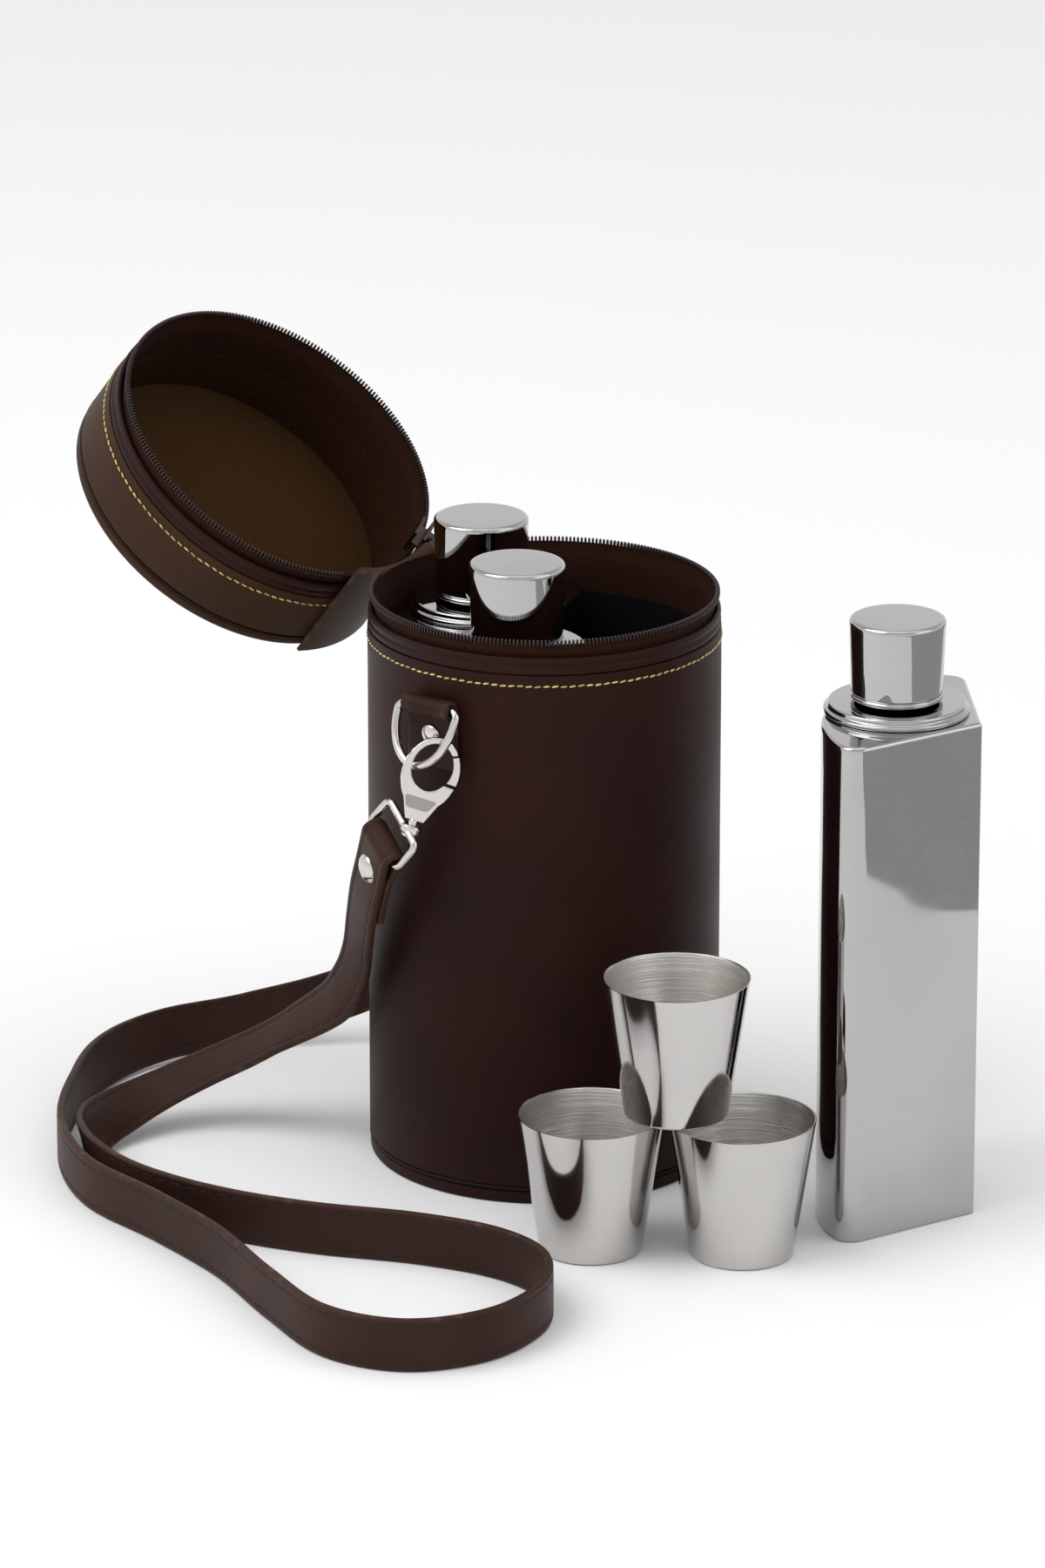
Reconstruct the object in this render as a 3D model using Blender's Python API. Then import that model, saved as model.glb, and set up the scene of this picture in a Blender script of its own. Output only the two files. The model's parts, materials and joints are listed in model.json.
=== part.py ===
"""Picnic canteen: a zip-lidded leather cylinder case with a shoulder strap, three steel flasks
whose plan is a 120 degree sector, and three steel cups.

The case axis is Z and its underside is z = 0. The lid hinge is at +Y and the strap hangs from the
two sides, -X (left) and +X (right). Lengths are in millimetres; new_object turns them to metres.
"""
import math

import bmesh
import bpy
from mathutils import Matrix, Vector

# ---- driving dimensions, millimetres and degrees ------------------------------------------------
MM = 0.001
GAP = 0.3                    # clearance between pieces that touch on the real object

CASE_RADIUS = 62.5           # outside of the leather wrap
LEATHER = 1.2                # thickness of the wrap
CORE_OUTER = CASE_RADIUS - LEATHER - GAP
CORE_WALL = 1.0
LINING_OUTER = CORE_OUTER - CORE_WALL - GAP
LINING_WALL = 0.7
LINING_INNER = LINING_OUTER - LINING_WALL
PARTING = 209.4              # height of the plane where the two rows of zip teeth meet
WRAP_TOP = 196.2             # upper edge of the wrap, where the rim band starts
LID_HEIGHT = 41.0            # from the parting plane to the top of the lid
BASE_THICK = 4.6
PAD_TOP = 11.8
CASE_STEPS = 32              # facets of everything that is coaxial with the case

HINGE = Vector((0.0, 65.0, 204.7))
OPEN_ANGLE = 141.4
HINGE_HALF = 17.0            # half the angle that the hinge panels span
TEETH_GAP = 20.0             # half the angle without teeth, at the hinge

SLIDER_AT = 65.0             # direction of the zip slider from the lid axis, lid closed
SLIDER_SPAN = 11.0
PULL_PIVOT = 64.5            # radius of the pull's pivot
PULL_ANGLE = 35.0            # between the pull and the rim's tangent

STRAP_WIDE = 18.9
STRAP_THICK = 2.8
STRAP_STEP = 11.0            # spacing of the strap's cross-sections
TAIL_STEPS = 3               # sections of the folded tail below the rivet
FOLD_SLOPE = 0.75            # how far the inner layer leans in behind the rivet

TAB_WIDE = 20.0
TAB_BACK = 62.8
TAB_THICK = 2.8
TAB_BOTTOM = 160.0
RING_BAR = Vector((-66.7, 0.0, 182.3))
RING_WIRE = 1.5
RING_HALF = 12.45
RING_DROP = 21.05
RING_TILT = 23.6
RIVET_BORE = 1.8
RIVET_SHANK = 1.5
TAB_RIVET_Z = 171.8

HOOK_BASE = Vector((-78.3, -2.3, 144.1))
HOOK_UP = Vector((0.280, -0.197, 0.940)).normalized()
HOOK_FACE = Vector((-0.724, -0.686, 0.072)).normalized()
HOOK_HALF_THICK = 1.1
EYE_BAR = Vector((-82.5, 8.0, 134.0))
EYE_ALONG = Vector((0.360, 0.785, 0.510)).normalized()
EYE_DOWN = Vector((-0.201, 0.600, -0.775)).normalized()
STRAP_DOWN = Vector((0.320, 0.433, -0.843)).normalized()
EYE_DEPTH = 11.5
EYE_HALF = 11.4
EYE_WIRE = 1.4

SECTOR_RADIUS = 55.8
SECTOR_CORNER = 7.0
SECTOR_APEX = 1.2
SIDE_POINTS = (36.0, 26.0, 17.0, 8.0)   # distances from the apex of points on a flask's flat side
FLASK_MOUTH = 10.8
FLASK_WALL = 0.8
SHOULDER = 182.1
CAP_FROM_APEX = 32.4
APEX_OFFSET = 0.4
CAP_TOP = 215.9
NECK_TOP = 211.5
FLASK_STEPS = 20
FLASK_FLOOR = PAD_TOP + GAP

CUP_HEIGHT = 49.9
CUP_RIM = 25.6
CUP_FOOT = 18.1
CUP_WALL = 0.65
CUP_STEPS = 24

# The strap's centre line from the left eye's bar to the right one: down beside the case, out over
# the floor in one long loop, and up behind the case.
ROUTE = (
    (-81.5, 14.4, 124.0),
    (-76, 22, 109.3),
    (-67, 31, 93.0),
    (-59, 39, 78.0),
    (-53, 48, 65.0),
    (-48, 59, 54.0),
    (-47, 76, 42.0),
    (-51, 92, 31.0),
    (-58, 107, 22.0),
    (-70, 119, 14.5),
    (-86, 124, 10.6),
    (-104, 122, 9.7),
    (-122, 112, 9.7),
    (-136, 94, 9.7),
    (-144, 67, 9.7),
    (-143, 32, 9.7),
    (-135, -1, 9.7),
    (-121, -36, 9.7),
    (-115, -67, 9.7),
    (-122, -92, 9.7),
    (-144, -108, 9.7),
    (-175, -109, 9.7),
    (-200, -92, 9.7),
    (-206, -62, 9.7),
    (-191, -26, 9.7),
    (-172, 11, 9.7),
    (-159, 50, 9.7),
    (-148, 90, 9.7),
    (-123, 123, 9.7),
    (-88, 147, 9.7),
    (-52, 162, 9.7),
    (-18, 162, 9.7),
    (12, 146, 11.0),
    (40, 117, 21.0),
    (60, 88, 42.0),
    (70, 60, 72.0),
    (76, 30, 105.0),
    (81.5, 14.4, 124.0),
)
WIDTH_ON_CASE = Vector((0.478, 0.861, 0.0))   # strap's width direction as it hangs
RIVETED = 0.8                                 # route points held flat by the rivet
HANGING = 4                                   # route points until it hangs freely
STANDING = 10                                 # route points until it stands on its edge

FLASK_SLOTS = {"flask_1": -159.9, "flask_2": 80.1}
LOOSE_FLASK = ("flask_3", (28.7, -131.5), 100.9)
CUPS = {
    "cup_left": (-71.9, -74.7, 0.0),
    "cup_right": (-43.9, -119.4, 0.0),
    "cup_top": (-54.1, -98.2, CUP_HEIGHT + GAP),
}

# name: (colour, roughness, metallic)
FINISHES = {
    "leather": ((0.055, 0.026, 0.019), 0.48, 0.0),
    "welt": ((0.030, 0.014, 0.010), 0.55, 0.0),
    "board": ((0.120, 0.085, 0.055), 0.90, 0.0),
    "lining": ((0.020, 0.016, 0.012), 0.95, 0.0),
    "zip": ((0.026, 0.016, 0.012), 0.60, 0.0),
    "nickel": ((0.700, 0.690, 0.670), 0.18, 1.0),
    "steel": ((0.620, 0.610, 0.600), 0.10, 1.0),
    "brushed": ((0.560, 0.550, 0.540), 0.28, 1.0),
    "rubber": ((0.750, 0.740, 0.700), 0.60, 0.0),
}


# ---- objects ------------------------------------------------------------------------------------
def clear_scene():
    """Remove every object that is in the file."""
    for obj in list(bpy.data.objects):
        bpy.data.objects.remove(obj, do_unlink=True)


def material(finish):
    """The Principled material of a finish, made once."""
    found = bpy.data.materials.get(finish)
    if found:
        return found
    colour, roughness, metallic = FINISHES[finish]
    made = bpy.data.materials.new(finish)
    made.use_nodes = True
    shader = made.node_tree.nodes["Principled BSDF"]
    shader.inputs["Base Color"].default_value = (*colour, 1.0)
    shader.inputs["Roughness"].default_value = roughness
    shader.inputs["Metallic"].default_value = metallic
    made.diffuse_color = (*colour, 1.0)
    return made


def new_object(name, bm, finish, origin=(0, 0, 0), parent=None, parent_at=(0, 0, 0)):
    """Make a named object, in metres, with its origin on the given point."""
    origin = Vector(origin)
    bmesh.ops.remove_doubles(bm, verts=bm.verts, dist=1e-4)
    bmesh.ops.dissolve_degenerate(bm, edges=bm.edges, dist=1e-5)
    bmesh.ops.translate(bm, verts=bm.verts, vec=-origin)
    bmesh.ops.scale(bm, verts=bm.verts, vec=(MM, MM, MM))
    bmesh.ops.triangulate(bm, faces=[f for f in bm.faces if len(f.verts) > 4])
    bmesh.ops.recalc_face_normals(bm, faces=bm.faces)
    mesh = bpy.data.meshes.new(name)
    bm.to_mesh(mesh)
    bm.free()
    mesh.shade_smooth()
    mesh.set_sharp_from_angle(angle=math.radians(35))
    mesh.materials.append(material(finish))
    obj = bpy.data.objects.new(name, mesh)
    bpy.context.scene.collection.objects.link(obj)
    obj.location = (origin - Vector(parent_at)) * MM
    obj.parent = parent
    return obj


def empty(name, location, rotation):
    """An empty that other objects are placed by."""
    holder = bpy.data.objects.new(name, None)
    bpy.context.scene.collection.objects.link(holder)
    holder.location = Vector(location) * MM
    holder.rotation_euler = rotation
    return holder


def combine(obj, bm, operation):
    """Cut obj with a shape, or join the shape to it, by an exact Boolean."""
    helper = new_object(f"{obj.name}_{operation.lower()}", bm, "nickel", parent=obj.parent)
    helper.hide_render = True
    helper.hide_viewport = True
    helper.display_type = "WIRE"
    boolean = obj.modifiers.new(operation.title(), "BOOLEAN")
    boolean.operation = operation
    boolean.solver = "EXACT"
    boolean.object = helper


# ---- shapes -------------------------------------------------------------------------------------
def lathe(profile, steps=CASE_STEPS, span=None):
    """Turn (radius, height) points about Z: a whole turn, or the (from, to) degrees of span."""
    bm = bmesh.new()
    first = math.radians(span[0]) if span else 0.0
    turn = math.radians(span[1] - span[0]) if span else 2 * math.pi
    around = Matrix.Rotation(first, 4, "Z")
    verts = [bm.verts.new(around @ Vector((r, 0, z))) for r, z in profile]
    edges = [bm.edges.new(pair) for pair in zip(verts, verts[1:])]
    if profile[0][0] > 0 or profile[-1][0] > 0:
        edges.append(bm.edges.new((verts[-1], verts[0])))
    bmesh.ops.spin(bm, geom=verts + edges, cent=(0, 0, 0), axis=(0, 0, 1), angle=turn,
                   steps=steps, use_merge=span is None, use_duplicate=False)
    bmesh.ops.remove_doubles(bm, verts=bm.verts, dist=1e-4)
    if span:
        rims = [edge for edge in bm.edges if edge.is_boundary]
        bmesh.ops.edgeloop_fill(bm, edges=rims)
    return bm


def band(inner, outer, low, high, span=None, steps=CASE_STEPS):
    """A plain tube, or a stretch of one."""
    return lathe([(inner, low), (outer, low), (outer, high), (inner, high)], steps, span)


def disc(radius, low, high, edge=0.0, steps=CASE_STEPS):
    """A round plate whose outer corners are rounded off by edge."""
    if not edge:
        return lathe([(0, low), (radius, low), (radius, high), (0, high)], steps)
    corner = [(radius - edge + edge * math.sin(a), edge - edge * math.cos(a))
              for a in (0, math.pi / 4, math.pi / 2)]
    lower = [(r, low + h) for r, h in corner]
    upper = [(r, high - h) for r, h in reversed(corner)]
    return lathe([(0, low), *lower, *upper, (0, high)], steps)


def loft(rings, around=True):
    """Skin rings that have equal numbers of points; around also joins the last to the first."""
    bm = bmesh.new()
    made = [[bm.verts.new(point) for point in ring] for ring in rings]
    pairs = list(zip(made, made[1:]))
    if around:
        pairs.append((made[-1], made[0]))
    else:
        bm.faces.new(made[0])
        bm.faces.new(made[-1])
    for one, two in pairs:
        for i in range(len(one)):
            j = (i + 1) % len(one)
            bm.faces.new((one[i], one[j], two[j], two[i]))
    return bm


def plate(outline, back, front, place):
    """Extrude a closed outline in a plane from back to front, and put it in place."""
    rings = [[place @ Vector((x, y, depth)) for x, y in outline] for depth in (back, front)]
    return loft(rings, around=False)


def wire_ring(path, radius, flat_normal, sides=7):
    """A closed ring of round wire whose centre line lies in a plane."""
    rings = []
    for i, point in enumerate(path):
        along = (path[(i + 1) % len(path)] - path[i - 1]).normalized()
        across = along.cross(flat_normal).normalized()
        turns = [2 * math.pi * k / sides for k in range(sides)]
        rings.append([point + radius * (math.cos(t) * across + math.sin(t) * flat_normal)
                      for t in turns])
    return loft(rings)


def basis(origin, x_axis, y_axis, z_axis):
    """The matrix that takes a local frame with these axes to its place."""
    place = Matrix((x_axis, y_axis, z_axis)).transposed().to_4x4()
    place.translation = origin
    return place


def about(origin, axis):
    """A place whose Z points along axis."""
    place = axis.to_track_quat("Z", "Y").to_matrix().to_4x4()
    place.translation = origin
    return place


def moved(bm, place):
    """The same shape, transformed."""
    bmesh.ops.transform(bm, matrix=place, verts=bm.verts)
    return bm


def arc(centre, radii, start, end, count):
    """Points on an ellipse's arc, in degrees, both ends included."""
    angles = [math.radians(start + (end - start) * i / (count - 1)) for i in range(count)]
    return [(centre[0] + radii[0] * math.cos(a), centre[1] + radii[1] * math.sin(a))
            for a in angles]


# ---- case and lid -------------------------------------------------------------------------------
def tape_profile(fold):
    """Section of a zip tape; fold maps a height on the case to the height wanted."""
    outer = [(59.7, 190.0), (59.7, 202.0), (61.0, 205.0), (61.0, 207.0)]
    inner = [(r - 0.6, z) for r, z in reversed(outer)]
    return [(r, fold(z)) for r, z in outer + inner]


def welt_profile(middle):
    """Section of the piping that covers the seam at a rim."""
    return arc((61.95, middle), (0.65, 0.62), 0, 288, 5)


def teeth(low, high, end=450 - TEETH_GAP):
    """One row of zip teeth as a ring that is open at the hinge."""
    return band(60.2, 61.7, low, high, (90 + TEETH_GAP, end), CASE_STEPS - 4)


def build_case():
    """The fixed cylinder: leather outside, board core, lining, floor and the lower zip."""
    new_object("case_base", disc(62.2, 0, BASE_THICK, edge=1.6), "leather")
    new_object("case_welt", lathe(welt_profile(5.5)), "welt")
    wrap = new_object("case_wrap", band(CASE_RADIUS - LEATHER, CASE_RADIUS, 6.4, WRAP_TOP),
                      "leather")
    core = new_object("case_core", band(CORE_OUTER - CORE_WALL, CORE_OUTER, 5.0, WRAP_TOP - GAP),
                      "board")
    lining = new_object("case_lining", band(LINING_INNER, LINING_OUTER, 7.9, 189.6), "lining")
    for layer in (wrap, core, lining):
        combine(layer, rivet_bore(), "DIFFERENCE")
    new_object("floor_board", disc(LINING_OUTER, 5.0, 7.6), "board")
    new_object("floor_pad", disc(LINING_INNER - GAP, 7.9, PAD_TOP, edge=1.0), "lining")
    new_object("case_rim_band", band(60.9, 62.2, WRAP_TOP + GAP, 202.5), "leather")
    new_object("case_zip_tape", lathe(tape_profile(lambda z: z)), "zip")
    before_slider = 360 + SLIDER_AT - SLIDER_SPAN / 2 - 1.5
    new_object("case_zip_teeth", teeth(PARTING - 2.1, PARTING - 0.5, before_slider), "zip")
    panel = band(TAB_BACK, 64.0, 160.0, 202.0, (90 - HINGE_HALF, 90 + HINGE_HALF), 5)
    new_object("hinge_panel_case", panel, "leather")


def build_lid():
    """The lid, modelled shut and turned open about the hinge by its empty."""
    lid = empty("lid_frame", HINGE, (-math.radians(OPEN_ANGLE), 0, 0))

    def add(name, bm, finish, origin=HINGE):
        return new_object(name, bm, finish, origin, lid, HINGE)

    top = PARTING + LID_HEIGHT
    pan = [(0, top), (59.6, top), (61.4, top - 0.5), (62.2, top - 1.8), (62.2, top - 4.6),
           (61.3, top - 4.6), (61.3, top - 1.9), (60.6, top - 1.1), (0, top - 1.1)]
    add("lid_top", lathe(pan), "leather")
    add("lid_welt", lathe(welt_profile(top - 5.5)), "welt")
    low = 2 * PARTING - WRAP_TOP
    add("lid_wrap", band(CASE_RADIUS - LEATHER, CASE_RADIUS, low, top - 6.4), "leather")
    add("lid_core", band(CORE_OUTER - CORE_WALL, CORE_OUTER, low + GAP, top - 1.8), "board")
    add("lid_lining", band(LINING_INNER, LINING_OUTER, 2 * PARTING - 189.6, top - 2.7), "lining")
    add("lid_board", disc(LINING_OUTER, top - 2.4, top - 1.4), "board")
    add("lid_liner_disc", disc(LINING_INNER - GAP, top - 3.4, top - 2.7), "lining")
    add("lid_rim_band", band(60.9, 62.2, 2 * PARTING - 202.5, low - GAP), "leather")
    add("lid_zip_tape", lathe(tape_profile(lambda z: 2 * PARTING - z)), "zip")
    add("lid_zip_teeth", teeth(PARTING + 0.5, PARTING + 2.1), "zip")
    panel = band(TAB_BACK, 64.0, 207.5, top, (90 - HINGE_HALF, 90 + HINGE_HALF), 5)
    add("hinge_panel_lid", panel, "leather")
    build_slider(add)


def build_slider(add):
    """The zip slider, which runs round the lid's rim, and its leather pull."""
    half = SLIDER_SPAN / 2
    web, plate_half = 0.25, 4.6
    section = [(58.3, -plate_half), (59.4, -plate_half), (59.4, -web), (62.2, -web),
               (62.2, -plate_half), (63.2, -plate_half), (63.2, plate_half), (62.2, plate_half),
               (62.2, web), (59.4, web), (59.4, plate_half), (58.3, plate_half)]
    shape = lathe([(r, PARTING + z) for r, z in section], 3, (SLIDER_AT - half, SLIDER_AT + half))
    slider = add("zip_slider", shape, "nickel", Vector((0, 0, PARTING)))
    outward = Vector((math.cos(math.radians(SLIDER_AT)), math.sin(math.radians(SLIDER_AT)), 0))
    onward = Vector((outward.y, -outward.x, 0))
    up = Vector((0, 0, 1))
    pivot = outward * PULL_PIVOT + up * PARTING
    lug = arc((0, 0), (1.3, 1.3), -90, 90, 5) + [(-2.0, 1.3), (-2.0, -1.3)]
    for low, high in ((-3.6, -2.6), (2.6, 3.6)):
        place = basis(pivot - HINGE, outward, onward, up)
        combine(slider, plate(lug, low, high, place), "UNION")
    swing = math.radians(PULL_ANGLE)
    along = onward * math.cos(swing) + outward * math.sin(swing)
    out = outward * math.cos(swing) - onward * math.sin(swing)
    half_tab = [(-0.9, 2.2), (2.8, 2.2), (4.6, 4.75), (15.0, 4.75)]
    half_tab += arc((15.0, 0), (6.0, 4.75), 60, 0, 3)
    outline = half_tab + [(x, -y) for x, y in reversed(half_tab[:-1])]
    add("zip_pull", plate(outline, -0.9, 0.9, basis(pivot, along, up, out)), "leather", pivot)


# ---- strap and its fittings ---------------------------------------------------------------------
def mirrored(point, side):
    """A point or direction of the left side, as it is on the side wanted."""
    return Vector((point.x * side, point.y, point.z))


def sided(bm, side):
    """A shape of the left side, as it is on the side wanted."""
    if side < 0:
        bmesh.ops.scale(bm, verts=bm.verts, vec=(-1, 1, 1))
    return bm


def rivet_bore():
    """Bore for both tab rivets, straight through the case."""
    across = Matrix.Rotation(math.radians(90), 4, "Y")
    across.translation = (-75, 0, TAB_RIVET_Z)
    return moved(disc(RIVET_BORE, 0, 150, steps=12), across)


def tab_outline():
    """Section of the leather tab, folded round the ring's bar: (out from the wall, height)."""
    bar = (-RING_BAR.x - TAB_BACK, RING_BAR.z)
    hole, outer = RING_WIRE + GAP, 3.45
    back_layer, front_layer = 1.25, 1.55
    inside = arc(bar, (hole, hole), 180, -130, 11)
    outside = arc(bar, (outer, outer), -108.6, 180, 11)
    return [(0, TAB_BOTTOM), (back_layer, TAB_BOTTOM), (back_layer, 178.2), *inside,
            (front_layer, 178.6), (front_layer, TAB_BOTTOM), (TAB_THICK, TAB_BOTTOM), *outside,
            (0, 178.2)]


def ring_path():
    """Centre line of the D-ring, hanging and tilted a little away from the case."""
    corner, drop = 2.8, RING_DROP
    right = arc((RING_HALF - corner, -corner), (corner, corner), 90, 0, 4)
    bow = arc((0, -corner), (RING_HALF, drop - corner), 0, -180, 15)[1:-1]
    left = arc((corner - RING_HALF, -corner), (corner, corner), 180, 90, 4)
    tilt = math.radians(RING_TILT)
    hang = Vector((math.sin(tilt), 0, math.cos(tilt)))
    return [RING_BAR + Vector((0, y, 0)) + hang * w for y, w in right + bow + left]


def hook_outline():
    """Outline of the hook: a pointed oval, open on the gate's side."""
    outer = arc((0, 17.6), (10.0, 13.4), 42, 230, 15)
    foot = [(-3.4, 0), (3.4, 0)]
    below_gate = arc((0, 17.6), (10.0, 13.4), -50, -12, 4)
    opening = arc((0, 20.0), (7.2, 8.5), 325, 42, 20)
    return outer + foot + below_gate + opening


def gate_outline():
    """Outline of the sprung gate that closes the hook."""
    outer = arc((0, 17.6), (10.0, 13.4), -7.5, 40, 6)
    inner = arc((0, 20.0), (7.2, 8.5), 39, -28, 7)
    return outer + inner


def eye_path():
    """Centre line of the swivel's eye, which the strap is folded round."""
    corner = 2.6
    path = []
    for x, y, start in ((1, 1, 90), (1, -1, 0), (-1, -1, -90), (-1, 1, -180)):
        centre = (x * (EYE_HALF - corner), y * (EYE_DEPTH / 2 - corner))
        path += arc(centre, (corner, corner), start, start - 90, 4)
    middle = EYE_BAR - EYE_DOWN * EYE_DEPTH / 2
    return [middle + EYE_ALONG * x - EYE_DOWN * y for x, y in path]


def build_side(word, side):
    """The tab, ring, swivel hook and eye of one side."""
    tab_place = basis(Vector((-TAB_BACK, 0, 0)), Vector((-1, 0, 0)), Vector((0, 0, 1)),
                      Vector((0, 1, 0)))
    tab = plate(tab_outline(), -TAB_WIDE / 2, TAB_WIDE / 2, tab_place)
    tab = new_object(f"strap_tab_{word}", sided(tab, side), "leather")
    combine(tab, rivet_bore(), "DIFFERENCE")

    face = TAB_THICK + GAP
    shank_end = 57.9 - TAB_BACK
    rivet = [(0, face + 1.2), (2.2, face + 0.95), (3.7, face), (RIVET_SHANK, face),
             (RIVET_SHANK, shank_end), (0, shank_end)]
    out_left = about(Vector((-TAB_BACK, 0, TAB_RIVET_Z)), Vector((-1, 0, 0)))
    new_object(f"tab_rivet_{word}", sided(moved(lathe(rivet, 12), out_left), side), "nickel")
    washer = band(RIVET_BORE, 3.6, shank_end, shank_end + 0.6, steps=12)
    new_object(f"tab_rivet_back_{word}", sided(moved(washer, out_left), side), "nickel")

    tilt = math.radians(RING_TILT)
    normal = Vector((math.cos(tilt), 0, -math.sin(tilt)))
    ring = wire_ring(ring_path(), RING_WIRE, normal)
    new_object(f"d_ring_{word}", sided(ring, side), "nickel", mirrored(RING_BAR, side))

    build_hook(word, side)
    collar_place = about(HOOK_BASE, -HOOK_UP)
    eye = wire_ring(eye_path(), EYE_WIRE, EYE_ALONG.cross(EYE_DOWN))
    eye = new_object(f"swivel_eye_{word}", sided(eye, side), "nickel")
    collar = moved(disc(3.9, 1.6, 4.6, steps=12), collar_place)
    combine(eye, sided(collar, side), "UNION")
    bore = [(0, -3), (2.05, -3), (2.05, 4.75), (3.2, 4.75), (3.2, 7.5), (0, 7.5)]
    combine(eye, sided(moved(lathe(bore, 12), collar_place), side), "DIFFERENCE")


def build_hook(word, side):
    """The swivel snap hook and its gate."""
    across = HOOK_UP.cross(HOOK_FACE)
    place = basis(HOOK_BASE, across, HOOK_UP, HOOK_FACE)
    body = plate(hook_outline(), -HOOK_HALF_THICK, HOOK_HALF_THICK, place)
    hook = new_object(f"snap_hook_{word}", sided(body, side), "nickel", mirrored(HOOK_BASE, side))
    stem = [(0, -0.6), (1.7, -0.6), (1.7, 4.9), (2.8, 4.9), (2.8, 6.2), (0, 6.2)]
    stem = moved(lathe(stem, 12), about(HOOK_BASE, -HOOK_UP))
    combine(hook, sided(stem, side), "UNION")
    gate = plate(gate_outline(), -HOOK_HALF_THICK, HOOK_HALF_THICK, place)
    pivot = place @ Vector((7.6, 17.4, 0))
    new_object(f"snap_gate_{word}", sided(gate, side), "nickel", mirrored(pivot, side))


def smooth_curve(points, spacing):
    """Points at about this spacing on the smooth curve through the given ones."""
    knots = [2 * points[0] - points[1], *points, 2 * points[-1] - points[-2]]
    dense = []
    for a, b, c, d in zip(knots, knots[1:], knots[2:], knots[3:]):
        for i in range(24):
            t = i / 24
            dense.append(0.5 * (2 * b + (c - a) * t + (2 * a - 5 * b + 4 * c - d) * t ** 2
                                + (3 * b - a - 3 * c + d) * t ** 3))
    dense.append(points[-1].copy())
    walked = [0.0]
    for one, two in zip(dense, dense[1:]):
        walked.append(walked[-1] + (two - one).length)
    count = round(walked[-1] / spacing)
    evenly, j = [], 0
    for i in range(count + 1):
        want = walked[-1] * i / count
        while j < len(dense) - 2 and walked[j + 1] < want:
            j += 1
        part = (want - walked[j]) / (walked[j + 1] - walked[j])
        evenly.append(dense[j].lerp(dense[j + 1], part))
    return evenly


def strap_width_at(share):
    """Direction across the strap, share being how far along the route it is, 0 to 1."""
    side = 1 if share > 0.5 else -1
    at_end = min(share, 1 - share) * (len(ROUTE) - 1)
    eye = Vector((-side * EYE_ALONG.x, EYE_ALONG.y, EYE_ALONG.z))
    hanging = Vector((-side * WIDTH_ON_CASE.x, WIDTH_ON_CASE.y, WIDTH_ON_CASE.z))
    upright = Vector((0, 0, 1))
    if at_end < HANGING:
        return eye.lerp(hanging, max(0, (at_end - RIVETED) / (HANGING - RIVETED)))
    return hanging.lerp(upright, min(1, (at_end - HANGING) / (STANDING - HANGING)))


def strap_fold(side):
    """Centre line round one eye's bar, from the inner layer over the bar to the outer one."""
    bar = mirrored(EYE_BAR, side)
    down = mirrored(STRAP_DOWN, side)
    out = mirrored(EYE_ALONG.cross(STRAP_DOWN), side)
    turn = EYE_WIRE + GAP + STRAP_THICK / 2
    angles = [math.pi * k / 6 for k in range(7)]
    return [bar - out * turn * math.cos(a) - down * turn * math.sin(a) for a in angles]


def strap_section(before, point, after, width):
    """Directions across the strap and through it, at a point of its centre line."""
    along = (after - before).normalized()
    wide = (width - along * width.dot(along)).normalized()
    return wide, along.cross(wide)


def build_strap():
    """The whole strap with both folded ends, and the rivets that hold them."""
    middle = smooth_curve([Vector(p) for p in ROUTE], STRAP_STEP)
    folds = {1: strap_fold(1), -1: strap_fold(-1)}
    line = [folds[1][-1], *middle, folds[-1][-1]]
    widths = [strap_width_at(i / (len(middle) - 1)) for i in range(len(middle))]
    sections = [strap_section(line[i], p, line[i + 2], widths[i]) for i, p in enumerate(middle)]
    layers = STRAP_THICK + GAP + 0.05
    inner = [p + sections[i][1] * layers for i, p in enumerate(middle)]
    left = list(reversed(inner[:TAIL_STEPS])) + folds[1]
    right = list(reversed(folds[-1])) + list(reversed(inner[-TAIL_STEPS:]))
    path = left + middle + right
    folded = len(folds[1])
    path_widths = list(reversed(widths[:TAIL_STEPS])) + [widths[0]] * folded + widths
    path_widths += [widths[-1]] * folded + list(reversed(widths[-TAIL_STEPS:]))
    rings = []
    for i, point in enumerate(path):
        before, after = path[max(i - 1, 0)], path[min(i + 1, len(path) - 1)]
        wide, thick = strap_section(before, point, after, path_widths[i])
        half_w, half_t = wide * STRAP_WIDE / 2, thick * STRAP_THICK / 2
        rings.append([point + half_w + half_t, point + half_w - half_t,
                      point - half_w - half_t, point - half_w + half_t])
    strap = new_object("strap", loft(rings, around=False), "leather")
    front = STRAP_THICK / 2 + 1.5 * GAP
    back = front + layers + FOLD_SLOPE
    rivet = [(0, front + 1.9), (3.0, front + 1.6), (5.3, front), (RIVET_SHANK, front),
             (RIVET_SHANK, -back), (4.2, -back), (4.2, -back - 0.8), (0, -back - 0.8)]
    for word, end in (("left", 0), ("right", -1)):
        place = about(middle[end], -sections[end][1])
        combine(strap, moved(disc(RIVET_BORE, -9, 6, steps=12), place), "DIFFERENCE")
        new_object(f"strap_rivet_{word}", moved(lathe(rivet, 12), place), "nickel")


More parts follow.
